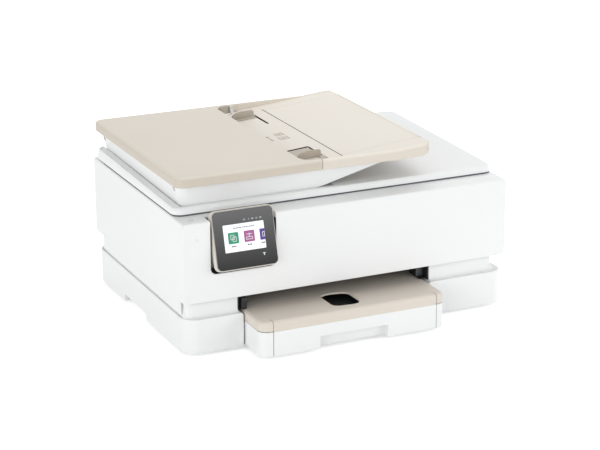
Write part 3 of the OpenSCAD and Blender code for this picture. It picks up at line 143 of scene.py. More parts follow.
def rubber(name, low, high):
    """Moulded rubber: matt, with a dusty bloom in soft patches and a fine pitted skin."""
    mat, tree, shader = shader_of(name, high, 0.8)
    coords = add_node(tree, "ShaderNodeTexCoord").outputs["Object"]
    bloom = add_node(tree, "ShaderNodeTexNoise", {"Scale": 120.0, "Detail": 4.0}, {"Vector": coords})
    pits = add_node(tree, "ShaderNodeTexVoronoi", {"Scale": 1600.0}, {"Vector": coords})
    tree.links.new(blended(tree, bloom.outputs["Fac"], low, high), shader.inputs["Base Color"])
    relief = add_node(tree, "ShaderNodeBump", {"Strength": 0.25, "Distance": 0.1 * MM},
                      {"Height": pits.outputs["Distance"]})
    tree.links.new(relief.outputs["Normal"], shader.inputs["Normal"])
    return mat


def polished(name, low, high, rough, coat=1.0, sheen_heights=None):
    """Polished acrylic: deep gloss with a faint haze of wiped fingerprints.
    With sheen_heights, it is painted dark at the lower one and lighter towards the high tone at the upper one: a
    painted reflection."""
    mat, tree, shader = shader_of(name, low, rough, Coat_Weight=coat, Coat_Roughness=0.04)
    coords = add_node(tree, "ShaderNodeTexCoord").outputs["Object"]
    haze = add_node(tree, "ShaderNodeTexNoise", {"Scale": 45.0, "Detail": 3.0, "Distortion": 0.6},
                    {"Vector": coords})
    haze_and_painted_sheen = haze.outputs["Fac"]
    # Painted reflection: the tone runs from dark at the lower height to light at the upper one
    if sheen_heights:
        tall = add_node(tree, "ShaderNodeSeparateXYZ", None, {"Vector": coords}).outputs["Z"]
        haze_and_painted_sheen = add_node(tree, "ShaderNodeMapRange", {"From Min": sheen_heights[0], "From Max": sheen_heights[1]},
                        {"Value": tall}).outputs["Result"]
    tree.links.new(blended(tree, haze_and_painted_sheen, low, high), shader.inputs["Base Color"])
    gloss = add_node(tree, "ShaderNodeMapRange", {"To Min": rough, "To Max": rough + 0.08},
                     {"Value": haze.outputs["Fac"]})
    tree.links.new(gloss.outputs["Result"], shader.inputs["Roughness"])
    return mat


def lit(name, colour, glow):
    """Screen picture: coloured light behind the glass, with a fine grid in the place of the display's dots."""
    mat, tree, shader = shader_of(name, colour, 0.3, Emission_Strength=glow)
    coords = add_node(tree, "ShaderNodeTexCoord").outputs["Object"]
    grid = add_node(tree, "ShaderNodeTexBrick", {
        "Scale": 1 / (0.9 * MM), "Mortar Size": 0.012, "Color1": linear(colour), "Color2": linear(colour),
        "Mortar": [0.93 * v for v in linear(colour)[:3]] + [1.0]}, {"Vector": coords})
    tree.links.new(grid.outputs["Color"], shader.inputs["Base Color"])
    tree.links.new(grid.outputs["Color"], shader.inputs["Emission Color"])
    return mat


def circuit(name):
    """Lacquered circuit board: green over darker copper tracks."""
    mat, tree, shader = shader_of(name, "#1f5a38", 0.35)
    coords = add_node(tree, "ShaderNodeTexCoord").outputs["Object"]
    tracks = add_node(tree, "ShaderNodeTexBrick", {
        "Scale": 420.0, "Mortar Size": 0.03, "Color1": linear("#24653f"), "Color2": linear("#1e5937"),
        "Mortar": linear("#3f8a58")}, {"Vector": coords})
    tree.links.new(tracks.outputs["Color"], shader.inputs["Base Color"])
    return mat


def clear(name, colour):
    """Float glass: faint green body, polished faces with a trace of dust."""
    mat, tree, shader = shader_of(name, colour, 0.02, Transmission_Weight=0.85, IOR=1.5)
    coords = add_node(tree, "ShaderNodeTexCoord").outputs["Object"]
    dust = add_node(tree, "ShaderNodeTexNoise", {"Scale": 900.0, "Detail": 2.0}, {"Vector": coords})
    film = add_node(tree, "ShaderNodeMapRange", {"To Min": 0.01, "To Max": 0.06}, {"Value": dust.outputs["Fac"]})
    tree.links.new(film.outputs["Result"], shader.inputs["Roughness"])
    return mat


looks = {
    # Casing: near-white satin, the grain breaks up the lamps' reflections
    "white_shell": moulded("white ABS moulded", "#edefef", "#f2f3f3", 0.42),
    # Feeder cover: warm satin, a shade darker on the walls, as painted shade
    "beige_shell": moulded("beige ABS moulded", "#dbd3c6", "#e1dacd", 0.42, side="#ccc3b5"),
    # Frames and guides inside: coarser grain, so black stays matt
    "black_part": moulded("black ABS moulded", "#141517", "#1b1c1e", 0.5, 0.6, 0.1),
    "grey_part": moulded("grey ABS moulded", "#4b4e51", "#575a5d", 0.5, 0.6, 0.1),
    # Small gears and wheels: waxy, a little yellow
    "white_part": moulded("acetal moulded", "#e2e2dc", "#ebebe6", 0.35, 0.8, 0.03),
    # Chassis and sockets: cold grey with the rolling direction along x
    "steel_sheet": brushed("zinc-plated steel sheet", "#9ea2a5", "#b9bcbe", 0.32, (60.0, 900.0, 900.0)),
    # Carriage and scan rods: bright, very fine grinding marks
    "steel_rod": brushed("ground steel rod", "#b7babc", "#d0d2d4", 0.16, (900.0, 2400.0, 2400.0)),
    # Motor cans: drawn along y
    "motor_can": brushed("nickel-plated steel can", "#8c8f92", "#a5a8aa", 0.28, (1500.0, 300.0, 1500.0)),
    # Pulley and pinion: yellow, turned
    "brass_gear": brushed("brass turned", "#b08a3c", "#d0a850", 0.25, (1200.0, 1200.0, 1200.0)),
    # Belt, feet and rollers: dusty and dull, rollers greyer with paper dust
    "belt_rubber": rubber("belt rubber", "#17181a", "#222325"),
    "foot_rubber": rubber("foot rubber", "#191a1b", "#262728"),
    "roller_rubber": rubber("roller rubber", "#37393b", "#444649"),
    # Flat bed: clear, greenish at the edges
    "platen_glass": clear("float glass", "#dcebe8"),
    # Control panel's face: dark mirror with a painted reflection that lightens it towards its upper edge
    "panel_glass": polished("smoked acrylic with painted reflection", "#141415", "#646465", 0.12, 0.0,
                            (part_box("panel_bezel")[0].z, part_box("panel_bezel")[1].z)),
    # Screen: white field that glows a little
    "display": lit("display white", "#e9edf0", 0.35),
    # Light pipe of the status lamp: milky and glossy
    "clear_lens": polished("light pipe acrylic", "#e6eaec", "#f2f5f6", 0.1),
    # Main board: glossy green over tracks
    "circuit_board": circuit("circuit board lacquered"),
    # Pad under the lid: soft white, no gloss
    "pad_foam": moulded("white foam pad", "#f0f0ee", "#f7f7f5", 0.85, 1.2, 0.3),
    # Cartridges: smooth satin in two inks' colours
    "ink_black": moulded("cartridge polypropylene black", "#17181a", "#202124", 0.4),
    "ink_colour": moulded("cartridge polypropylene blue", "#2b3560", "#36416f", 0.4),
    # Paper guides: darker taupe, so they stand out from their tray; the darker tone is painted shade for fences
    # that sit in the cover's shade
    "guide": moulded("taupe ABS moulded with painted shade", "#b9b0a2", "#c0b7a9", 0.42),
    # Input tray and flap: the palest beige, painted paler than the cover for the light they catch; walls a shade
    # darker, as painted shade
    "tray": moulded("beige ABS moulded lit paler", "#e9e2d7", "#efe9de", 0.42, side="#dcd4c8"),
    # Cover and lip of the drawer: the same beige on top and front
    "cover": moulded("beige ABS moulded output cover", "#dad1c5", "#dfd7cc", 0.42),
    # Rim round the control panel: pale beige, smoother
    "panel_rim": moulded("silver-beige ABS moulded", "#d8d2c8", "#dfdad1", 0.38),
}
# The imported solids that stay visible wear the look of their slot
for node, slot in SLOT.items():
    mesh = frame["nodes"][node].data
    mesh.materials.clear()
    mesh.materials.append(looks[slot])


# ------------------------------------------------------------------ mesh helpers

def add_piece(name, bm, material, body):
    """A new object from a bmesh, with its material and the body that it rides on."""
    mesh = bpy.data.meshes.new(name)
    bm.to_mesh(mesh)
    bm.free()
    obj = bpy.data.objects.new(name, mesh)
    bpy.context.scene.collection.objects.link(obj)
    mesh.materials.append(material)
    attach(obj, body)
    return obj


def shade(bm):
    """Smooth faces with sharp edges where they meet at more than the soft angle."""
    for face in bm.faces:
        face.smooth = True
    for edge in bm.edges:
        edge.smooth = len(edge.link_faces) == 2 and edge.calc_face_angle(0) < math.radians(SOFT_ANGLE)


ROOM = 1.6      # widths of a bevel that its faces need beside the edge
FLARE = 0.7     # past the ends, what is nearer than this share of the way past them doesn't count


def has_room(edge, width):
    """Whether both faces beside an edge are wide enough for its bevel."""
    start, end = (v.co for v in edge.verts)
    length = (end - start).length
    along = (end - start) / length
    for other in {e for face in edge.link_faces for e in face.edges}:
        if set(other.verts) & set(edge.verts):
            continue
        ends = [v.co - start for v in other.verts]
        t = [p.dot(along) for p in ends]
        if max(t) < -width or min(t) > length + width:
            continue
        for limit in (-width, length + width, *t):
            if not min(t) <= limit <= max(t) or not -width <= limit <= length + width:
                continue
            share = 0 if t[1] == t[0] else (limit - t[0]) / (t[1] - t[0])
            gap = (ends[0].lerp(ends[1], share) - along * limit).length
            beyond = max(-limit, limit - length)
            if gap < ROOM * width and not (beyond > 0 and gap < FLARE * beyond):
                return False
    return True


def merged(node):
    """A node's own solid as a bmesh, its loose triangles joined."""
    bm = bmesh.new()
    bm.from_mesh(frame["nodes"][node].data)
    bmesh.ops.remove_doubles(bm, verts=bm.verts, dist=SAME_POINT)
    return bm


def keep_flat(obj):
    """Weighted normals, so that a broken edge doesn't bend the shading of the flat faces beside it."""
    obj.modifiers.new("flat faces stay flat", "WEIGHTED_NORMAL").keep_sharp = True


FLAT_ANGLE = 0.3        # degrees; triangles nearer to flat than this are one face
BREAK_ANGLE = 33        # degrees; outer edges sharper than this are broken
SHORT_EDGE = 0.2 * MM   # edges shorter than this stay sharp


def soften(node, width):
    """Copy of a node's moulding with its outer edges broken by a small radius, as a mould leaves them."""
    bm = merged(node)
    bmesh.ops.dissolve_limit(bm, angle_limit=math.radians(FLAT_ANGLE), verts=bm.verts, edges=bm.edges)
    edges = [e for e in bm.edges
             if len(e.link_faces) == 2 and e.calc_face_angle_signed(0) > math.radians(BREAK_ANGLE)
             and e.calc_length() > SHORT_EDGE and has_room(e, width * MM)]
    bmesh.ops.bevel(bm, geom=edges, offset=width * MM, offset_type="OFFSET", affect="EDGES", segments=2,
                    profile=0.5, clamp_overlap=False, material=-1)
    shade(bm)
    obj = add_piece(node + "_moulding", bm, looks[SLOT[node]], BODY[node])
    keep_flat(obj)
    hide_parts(node)
    return obj


softened = {}
# Node and the width of its broken edges, in mm
for node, width in {
    "base_housing": 0.8, "upper_housing": 0.6, "front_fascia": 0.5, "lid_base": 0.6, "feeder_housing": 0.6,
    "feeder_cover": 0.4, "input_tray": 0.3, "tray_flap": 0.3, "guide_front": 0.3, "guide_back": 0.3,
    "paper_drawer": 0.5, "drawer_front": 0.4, "output_cover": 0.4, "extender_lip": 0.3, "photo_tray": 0.4,
    "panel_housing": 0.8, "panel_bezel": 0.5, "power_button": 0.4, "rubber_feet": 0.4, "ink_carriage": 0.4,
    "service_sled": 0.4, "unit_hinge_posts": 0.4,
}.items():
    softened[node] = soften(node, width)
for node, look in (("guide_front", "guide"), ("guide_back", "guide"), ("input_tray", "tray"), ("tray_flap", "tray"),
                   ("output_cover", "cover"), ("extender_lip", "cover"), ("panel_housing", "panel_rim")):
    softened[node].data.materials[0] = looks[look]


# ------------------------------------------------------------------ vents and screw wells

def metres(values):
    """Sizes or places in metres, from mm."""
    return [v * MM for v in values]


def block_matrix(centre, size):
    """Matrix that makes a unit cube a block, in metres."""
    return Matrix.Translation(centre) @ Matrix.Diagonal([*size, 1.0])


def slot_cut(bm, centre, size):
    """Straight slot, in mm."""
    bmesh.ops.create_cube(bm, size=1.0, matrix=block_matrix(metres(centre), metres(size)))


def well_cut(bm, centre, radius, depth, axis):
    """Round well of a screw, in mm, sunk along y or z."""
    facing = Matrix.Rotation(0 if axis == "Z" else math.pi / 2, 4, "X")
    bmesh.ops.create_cone(bm, cap_ends=True, segments=32, radius1=radius * MM, radius2=radius * MM,
                          depth=depth * MM, matrix=Matrix.Translation(metres(centre)) @ facing)


def carve(node, cuts):
    """Takes cuts, each a function and its sizes, out of a softened moulding."""
    cutter = bmesh.new()
    for draw, *sizes in cuts:
        draw(cutter, *sizes)
    mesh = bpy.data.meshes.new("cutter")
    cutter.to_mesh(mesh)
    cutter.free()
    tool = bpy.data.objects.new("cutter", mesh)
    bpy.context.scene.collection.objects.link(tool)
    obj = softened[node]
    obj.modifiers.clear()
    cut = obj.modifiers.new("cut", "BOOLEAN")
    cut.object, cut.operation, cut.solver = tool, "DIFFERENCE", "EXACT"
    bpy.context.view_layer.update()
    result = bpy.data.meshes.new_from_object(obj.evaluated_get(bpy.context.evaluated_depsgraph_get()))
    obj.modifiers.clear()
    bm = bmesh.new()
    bm.from_mesh(result)
    shade(bm)
    bm.to_mesh(obj.data)
    bm.free()
    bpy.data.meshes.remove(result)
    bpy.data.objects.remove(tool)
    bpy.data.meshes.remove(mesh)
    keep_flat(obj)


upper_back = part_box("upper_housing")[1].y / MM
base_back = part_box("base_housing")[1].y / MM
base_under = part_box("base_housing")[0].z / MM
VENT = (2.6, 9, 15)             # size along x, y and z of a slot in the back wall; they stand 6 mm apart
UNDER_VENT = (3.0, 22, 7)       # of a slot in the base's floor; they lie 7 mm apart
BACK_WELL = (4.2, 3.0, "Y")     # radius, depth and axis of a screw well in the back
UNDER_WELL = (4.5, 3.0, "Z")    # and of one in the floor
carve("upper_housing", [(slot_cut, (40 + 6 * i, upper_back, z), VENT) for i in range(18) for z in (112, 131)]
      + [(well_cut, (x, upper_back, 164), *BACK_WELL) for x in (-190, 0, 190)])
carve("base_housing", [(well_cut, (x, base_back, 60), *BACK_WELL) for x in (-205, -60, 205)]
      + [(slot_cut, (-90 + 7 * i, y, base_under), UNDER_VENT) for i in range(26) for y in (70, 98)]
      + [(well_cut, (x, y, base_under), *UNDER_WELL) for x in (-150, 150) for y in (-60, 110)])


# ------------------------------------------------------------------ input tray details

def top_plane(node):
    """Middle and normal of the largest face of a node that looks up."""
    faces = [p for p in frame["nodes"][node].data.polygons if p.normal.z > UPRIGHT]
    face = max(faces, key=lambda p: p.area)
    return face.center.copy(), face.normal.copy()


floor_point, floor_normal = top_plane("tray_flap")


def on_floor(x, y, lift):
    """Point over the tray's sloping paper floor; x and y in metres, lift in mm."""
    drop = (floor_normal.x * (x - floor_point.x) + floor_normal.y * (y - floor_point.y)) / floor_normal.z
    return Vector((x, y, floor_point.z - drop + lift * MM))


def floor_strip(bm, x, y, low, high):
    """Thin upright or flat bar between two x and two y, from low to high in mm over the floor."""
    made = bmesh.ops.create_cube(bm, size=1.0)["verts"]
    for v in made:
        px, py = x[v.co.x > 0], y[v.co.y > 0]
        v.co = on_floor(px, py, high if v.co.z > 0 else low)


def plate(bm, outline, rise):
    """Flat plate of any outline, raised by a vector."""
    face = bm.faces.new([bm.verts.new(p) for p in outline])
    grown = bmesh.ops.extrude_face_region(bm, geom=[face])["geom"]
    bmesh.ops.translate(bm, verts=[v for v in grown if isinstance(v, bmesh.types.BMVert)], vec=rise)


SLOT_LENGTH = 59.8 * MM     # of a guide's slot, from the guide's outer end
SLOT_PAST = 2.3 * MM        # how far it runs on past that end
FOOT_END = 61.99 * MM       # from the front guide's outer end to the far wall of its foot's opening
STRIP_THICK = 0.15 * MM            # thickness of a painted shade strip
SEAT_GAP = 0.08 * MM        # clearance that a painted shade strip leaves beside the flap


def painted_shade_strips(bm):
    # Dark strips of painted shade: in the guides' slots, at the opening at the end of the front guide's foot, along
    # the flap's seat
    wall = guide_front_box[1].x + 0.39 * MM
    for y in ((guide_front_box[0].y - SLOT_PAST, guide_front_box[0].y + SLOT_LENGTH),
              (guide_back_box[1].y - SLOT_LENGTH, guide_back_box[1].y + SLOT_PAST)):
        floor_strip(bm, (wall - STRIP_THICK, wall), y, -2.4, -0.12)
    end = guide_front_box[0].y + FOOT_END
    floor_strip(bm, (guide_front_box[0].x + 5.1 * MM, wall - 0.2 * MM), (end - STRIP_THICK, end), -1.5, -0.12)
    low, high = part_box("tray_flap")
    left = low.x - 1.3 * MM
    floor_strip(bm, (left, low.x - SEAT_GAP), (low.y - 1.2 * MM, high.y + 1.2 * MM), -1.9, 0.03)
    for y in ((low.y - 0.75 * MM, low.y - SEAT_GAP), (high.y + SEAT_GAP, high.y + 0.75 * MM)):
        floor_strip(bm, (left, high.x - 3 * MM), y, -1.9, -0.06)


LINE = 1.2      # mm; thickness of a printed line on the tray


def leaf_signs(bm):
    # Leaf face down, the width arrow and the leaf's way in, hot-stamped on the paper floor
    edge_x = guide_front_box[1].x
    middle = (guide_front_box[0].y + guide_back_box[1].y) / 2

    def bar(x0, y0, x1, y1):
        floor_strip(bm, (edge_x + x0 * MM, edge_x + x1 * MM), (middle + y0 * MM, middle + y1 * MM), -0.05, 0.05)

    for x, y, wide, deep in ((-15.6, 3.5, 12, 11.5), (-17.6, -15.5, 13.5, 13.5)):
        bar(x, y, x + wide, y + LINE)
        bar(x, y + deep - LINE, x + wide, y + deep)
        bar(x, y + LINE, x + LINE, y + deep - LINE)
        bar(x + wide - LINE, y + LINE, x + wide, y + deep - LINE)
        for line in (2.8, 5.4, 8.0):
            bar(x + 2.6, y + line, x + wide - 2.6, y + line + LINE)
    bar(-28.2, -9.0, -28.2 + LINE, 7.0)
    arrow = ((-27.6, 0), (-25.0, 4.4), (-30.2, 4.4))
    for tip, side in ((-13.0, 1), (11.0, -1)):
        outline = [on_floor(edge_x + x * MM, middle + (tip + side * y) * MM, -0.05) for x, y in arrow]
        plate(bm, outline[::side], Vector((0, 0, 0.1 * MM)))


guide_front_box, guide_back_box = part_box("guide_front"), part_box("guide_back")
for name, draw, material in (
        ("tray_painted_shade_strips", painted_shade_strips, moulded("painted shade strip dark", "#2e261e", "#392f26", 0.95)),
        ("tray_leaf_signs", leaf_signs, moulded("leaf signs hot-stamped", "#a09686", "#a99f90", 0.5))):
    bm = bmesh.new()
    draw(bm)
    bmesh.ops.recalc_face_normals(bm, faces=bm.faces)
    add_piece(name, bm, material, "tray")


# ------------------------------------------------------------------ screen picture

def flush_turn(joint):
    """The turn from flush to where the panel stands at rest."""
    pivot = Vector(JOINT[joint]["pos_m"])
    angle = math.radians(-JOINT[joint]["range_deg"][0])
    turn = Matrix.Rotation(angle, 4, Vector(JOINT[joint]["axis"]))
    return Matrix.Translation(pivot) @ turn @ Matrix.Translation(-pivot)


def flush_box(node, joint):
    """Box of a node with its joint turned to where the panel lies flush, in metres."""
    turn = flush_turn(joint).inverted()
    points = [turn @ v.co for v in frame["nodes"][node].data.vertices]
    return [Vector([pick(p[i] for p in points) for i in range(3)]) for pick in (min, max)]


PRINT = 0.06            # mm; thickness of a printed mark
PRINT_LIFT = 0.03       # its face over the glass
MARK_LIFT = 0.1         # face of a mark that lies over a tile
CROSS_LIFT = 0.14       # face of a bar that crosses such a mark


def runs_along(edge, axis):
    """Whether an edge runs along an axis."""
    return abs((edge.verts[0].co - edge.verts[1].co).normalized()["xyz".index(axis)]) > UPRIGHT


def tile(bm, centre, size, radius):
    """Rounded plate that faces the front, its face at centre."""
    made = bmesh.ops.create_cube(bm, size=1.0)["verts"]
    bmesh.ops.scale(bm, verts=made, vec=(size[0] * MM, PRINT * MM, size[1] * MM))
    bmesh.ops.translate(bm, verts=made, vec=Vector(centre) + Vector((0, PRINT * MM / 2, 0)))
    corners = [e for e in {e for v in made for e in v.link_edges} if runs_along(e, "y")]
    bmesh.ops.bevel(bm, geom=corners, offset=radius * MM, affect="EDGES", segments=5, profile=0.5, material=-1)


panel_turn = flush_turn("panel_tilt")
screen_low, screen_high = flush_box("panel_display", "panel_tilt")
bezel_low, bezel_high = flush_box("panel_bezel", "panel_tilt")


def on_screen(x, down, lift=PRINT_LIFT):
    """Point on the screen, in mm from its top left corner."""
    return Vector((screen_low.x + x * MM, screen_low.y - lift * MM, screen_high.z - down * MM))


def on_bezel(x, down):
    """Point on the bezel's face, in mm from the screen's top left corner."""
    return Vector((screen_low.x + x * MM, bezel_low.y - PRINT_LIFT * MM, screen_high.z - down * MM))


def panel_piece(name, draw, material):
    """Piece drawn where the panel lies flush, then turned with the panel to where it stands."""
    bm = bmesh.new()
    draw(bm)
    bm.transform(panel_turn)
    bmesh.ops.recalc_face_normals(bm, faces=bm.faces)
    add_piece(name, bm, material, "control_panel")


screen_w = (screen_high.x - screen_low.x) / MM
TILE = 14.2                     # mm; side of a tile
TILE_X = (5.6, 27.2, 48.6)      # left edges; the last tile runs off the screen
TILE_DOWN = 10.0                # top edge
MARK = 0.7                      # thickness of the lines of a tile's mark
WORD_GAP, TITLE_GAP = 0.35, 0.5     # between the bars of a caption and of the title
white_print = lit("screen print white", "#dfe3e4", 0.1)
grey_print = lit("screen print grey", "#8b9094", 0.0)
dark_print = lit("screen print dark", "#303336", 0.0)
pale_print = lit("bezel print pale", "#a2a6a8", 0.0)
tile_looks = [lit("screen tile green", "#2c8f6d", 0.12), lit("screen tile rose", "#a2558c", 0.12),
              lit("screen tile violet", "#56358f", 0.12)]
for i, left in enumerate(TILE_X):
    wide = min(TILE, screen_w - left - 0.1)
    centre, corner = on_screen(left + wide / 2, TILE_DOWN + TILE / 2), 1.2 if wide == TILE else 0.3
    panel_piece(f"screen_tile_{i + 1}", lambda bm: tile(bm, centre, (wide, TILE), corner), tile_looks[i])


def frame_mark(bm, x, down, wide, tall):
    """Outline of a leaf, drawn in bars."""
    for side in (-1, 1):
        tile(bm, on_screen(x + side * (wide - MARK) / 2, down, MARK_LIFT), (MARK, tall), 0.2)
        tile(bm, on_screen(x, down + side * (tall - MARK) / 2, CROSS_LIFT), (wide, MARK), 0.2)


def tile_marks(bm):
    # Two leaves for copying, a leaf over a flat bed for scanning, a leaf for printing
    x, down = TILE_X[0] + TILE / 2, TILE_DOWN + TILE / 2
    frame_mark(bm, x - 1.2, down - 1.0, 5.2, 6.2)
    frame_mark(bm, x + 1.4, down + 1.4, 5.2, 6.2)
    x = TILE_X[1] + TILE / 2
    frame_mark(bm, x, down + 2.4, 9.0, 3.6)
    tile(bm, on_screen(x, down - 1.4, MARK_LIFT), (0.9, 5.4), 0.3)
    tile(bm, on_screen(x, down - 2.6, MARK_LIFT), (8.0, 0.8), 0.3)
    frame_mark(bm, TILE_X[2] + 5.0, down, 3.2, 6.4)


def bars(bm, left, down, widths, tall, gap):
    """Row of bars in the place of a line of words."""
    for wide in widths:
        tile(bm, on_screen(left + wide / 2, down), (wide, tall), 0.4)
        left += wide + gap


def captions(bm):
    for tile_left, inset, widths in zip(TILE_X, (3.4, 3.6, 1.0), ((1.5, 2.4, 1.8), (2.2, 1.4, 1.8), (2.0, 2.6))):
        bars(bm, tile_left + inset, 27.6, widths, 1.5, WORD_GAP)


def title(bm):
    bars(bm, 13.9, 5.0, (3.4, 2.6, 3.8, 1.6, 3.2, 2.4, 1.2, 3.6, 2.8), 1.4, TITLE_GAP)


def status_marks(bm):
    # Row of small marks on the bezel above the screen
    for x, wide in ((29.6, 2.8), (35.8, 1.8), (41.0, 3.0), (46.4, 2.4), (51.8, 3.0)):
        tile(bm, on_bezel(x, -4.2), (wide, wide * 0.7), wide * 0.25)


def home_mark(bm):
    # Two bars in the place of a house under the screen
    tile(bm, on_bezel(51.6, 40.6), (3.6, 0.9), 0.3)
    tile(bm, on_bezel(51.6, 42.3), (1.3, 2.6), 0.3)


panel_piece("screen_marks", tile_marks, white_print)
panel_piece("screen_captions", captions, dark_print)
panel_piece("screen_title", title, grey_print)
panel_piece("bezel_status_marks", status_marks, pale_print)
panel_piece("bezel_home_mark", home_mark, white_print)


# ------------------------------------------------------------------ power mark

def power_mark(bm):
    # Broken ring with a bar at its gap, printed on the top of the power button
    low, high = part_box("power_button")
    centre = Vector(((low.x + high.x) / 2, (low.y + high.y) / 2, high.z - 0.02 * MM))
    inner, outer, rise, half_gap = 2.1, 2.7, 0.08, 35
    start = [bm.verts.new(centre + Vector((0, r * MM, h * MM)))
             for r, h in ((inner, 0), (outer, 0), (outer, rise), (inner, rise))]
    face = bm.faces.new(start)
    bmesh.ops.rotate(bm, verts=start, cent=centre, matrix=Matrix.Rotation(math.radians(half_gap), 3, "Z"))
    bmesh.ops.spin(bm, geom=[face] + list(face.edges) + start, cent=centre, axis=(0, 0, 1),
                   angle=math.radians(360 - 2 * half_gap), steps=28)
    bmesh.ops.create_cube(bm, size=1.0, matrix=block_matrix(
        centre + Vector(metres((0, 2.3, rise / 2))), metres((0.6, 2.4, rise))))
    bmesh.ops.remove_doubles(bm, verts=bm.verts, dist=SAME_POINT)


bm = bmesh.new()
power_mark(bm)
bmesh.ops.recalc_face_normals(bm, faces=bm.faces)
add_piece("power_mark", bm, moulded("power mark pad-printed", "#7f8385", "#8b8f91", 0.5), "power_key")


# ------------------------------------------------------------------ painted shade in the front's gaps, and a block's grey face

def block(bm, low, high, radius):
    """Block between two corners in metres, its edges broken by a radius in mm."""
    low, high = Vector(low), Vector(high)
    made = bmesh.ops.create_cube(bm, size=1.0, matrix=block_matrix((low + high) / 2, high - low))["verts"]
    edges = list({e for v in made for e in v.link_edges})
    bmesh.ops.bevel(bm, geom=edges, offset=radius * MM, affect="EDGES", segments=2, profile=0.5, material=-1)


def hollow(bm, corners, radius, segments, is_open, thickness):
    """Rounds some corners of a block, takes its open faces away and gives the rest a wall, in mm."""
    bmesh.ops.bevel(bm, geom=corners, offset=radius * MM, affect="EDGES", segments=segments, profile=0.5,
                    material=-1)
    bm.normal_update()
    bmesh.ops.delete(bm, geom=[f for f in bm.faces if is_open(f.normal)], context="FACES")
    bmesh.ops.solidify(bm, geom=bm.faces, thickness=thickness * MM)


def pocket_painted_shade(bm):
    # Shallow dark tray behind the control panel, open to the front, the back and the top: painted shade for the
    # deep gap round the panel
    low = Vector((bezel_low.x - 3.9 * MM, bezel_low.y + 1.0 * MM, bezel_low.z - 2.8 * MM))
    high = Vector((bezel_high.x + 3.9 * MM, bezel_low.y + 23.0 * MM, bezel_high.z - 14 * MM))
    bmesh.ops.create_cube(bm, size=1.0, matrix=block_matrix((low + high) / 2, high - low))
    corners = [e for e in bm.edges if runs_along(e, "y") and e.verts[0].co.z < (low.z + high.z) / 2]
    hollow(bm, corners, 7.8, 6, lambda normal: abs(normal.y) > UPRIGHT or normal.z > UPRIGHT, 0.3)


SEAM_REACH = 0.36 * MM      # thickness of the slice that fills a seam
SEAM_SHIFT = 0.4 * MM       # from the piece's end out into the seam
SEAM_SINK = 0.06 * MM       # how far it lies under the skin


def seam_slices(bm, node):
    """Slice of a node's own section at each end, moved out into the seam beside it and sunk under the skin; in
    grey, it is painted shade in the seam.
    """
    box_low, box_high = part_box(node)
    middle = (box_low + box_high) / 2
    for side, end in ((-1, box_low.x), (1, box_high.x)):
        part = merged(node)
        cut = bmesh.ops.bisect_plane(part, geom=part.verts[:] + part.edges[:] + part.faces[:],
                                     plane_co=(end - side * SEAM_REACH, 0, 0), plane_no=(-side, 0, 0),
                                     clear_outer=True)
        bmesh.ops.holes_fill(part, edges=[e for e in cut["geom_cut"] if isinstance(e, bmesh.types.BMEdge)])
        for v in part.verts:
            v.co.x += side * SEAM_SHIFT
            v.co.y += SEAM_SINK if v.co.y < middle.y else -SEAM_SINK
            v.co.z += SEAM_SINK if v.co.z < middle.z else -SEAM_SINK
        mesh = bpy.data.meshes.new("slice")
        part.to_mesh(mesh)
        part.free()
        bm.from_mesh(mesh)
        bpy.data.meshes.remove(mesh)


def lid_gap_shade(bm):
    # Grey strip in the gap under the scanner lid, round its front and both sides: painted shade for the gap
    low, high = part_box("lid_base")
    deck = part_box("front_fascia")[1].z
    low, high = (Vector((low.x + 0.8 * MM, low.y + 0.8 * MM, deck - 0.05 * MM)),
                 Vector((high.x - 0.8 * MM, high.y - 34 * MM, low.z - 0.12 * MM)))
    bmesh.ops.create_cube(bm, size=1.0, matrix=block_matrix((low + high) / 2, high - low))
    corners = [e for e in bm.edges if runs_along(e, "z") and e.verts[0].co.y < 0]
    hollow(bm, corners, 12.2, 8, lambda normal: abs(normal.z) > UPRIGHT or normal.y > UPRIGHT, 1.2)


def left_shade_block(bm):
    # Black block at the left end of the output opening: painted shade for the deep inside seen there
    block(bm, (cover_low.x - 2.2 * MM, base_front + 6 * MM, cover_high.z + 0.6 * MM),
          (cover_low.x + 5.0 * MM, base_front + 22 * MM, cover_high.z + 16 * MM), 0.4)


def block_face(bm):
    # Grey face of the dark block at the right end of the opening
    block(bm, (cover_high.x - 7.1 * MM, base_front + 20.65 * MM, cover_high.z + 0.8 * MM),
          (cover_high.x + 2.6 * MM, base_front + 20.95 * MM, cover_high.z + 12.4 * MM), 0.1)


def seam_shade(bm):
    # Grey seam fillers: painted shade in the seams
    for node in ("drawer_front", "extender_lip"):
        seam_slices(bm, node)


cover_low, cover_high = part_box("output_cover")
base_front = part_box("base_housing")[0].y
for name, body, draw, look in (
        ("panel_pocket_painted_shade", "access_unit", pocket_painted_shade, "black_part"),
        ("lid_gap_painted_shade", "access_unit", lid_gap_shade, "grey_part"),
        ("opening_left_shade_block", "base", left_shade_block, "black_part"),
        ("opening_block_face", "base", block_face, "grey_part"),
        ("seam_painted_shade", "extender", seam_shade, "grey_part")):
    bm = bmesh.new()
    draw(bm)
    bmesh.ops.recalc_face_normals(bm, faces=bm.faces)
    shade(bm)
    add_piece(name, bm, looks[look], body)


# ------------------------------------------------------------------ camera, light and floor

cam_data = bpy.data.cameras.new("camera")
cam_data.sensor_width = 36      # mm
cam_data.lens = 117.53          # mm
cam_data.clip_end = 50          # m
camera = bpy.data.objects.new("camera", cam_data)
bpy.context.scene.collection.objects.link(camera)
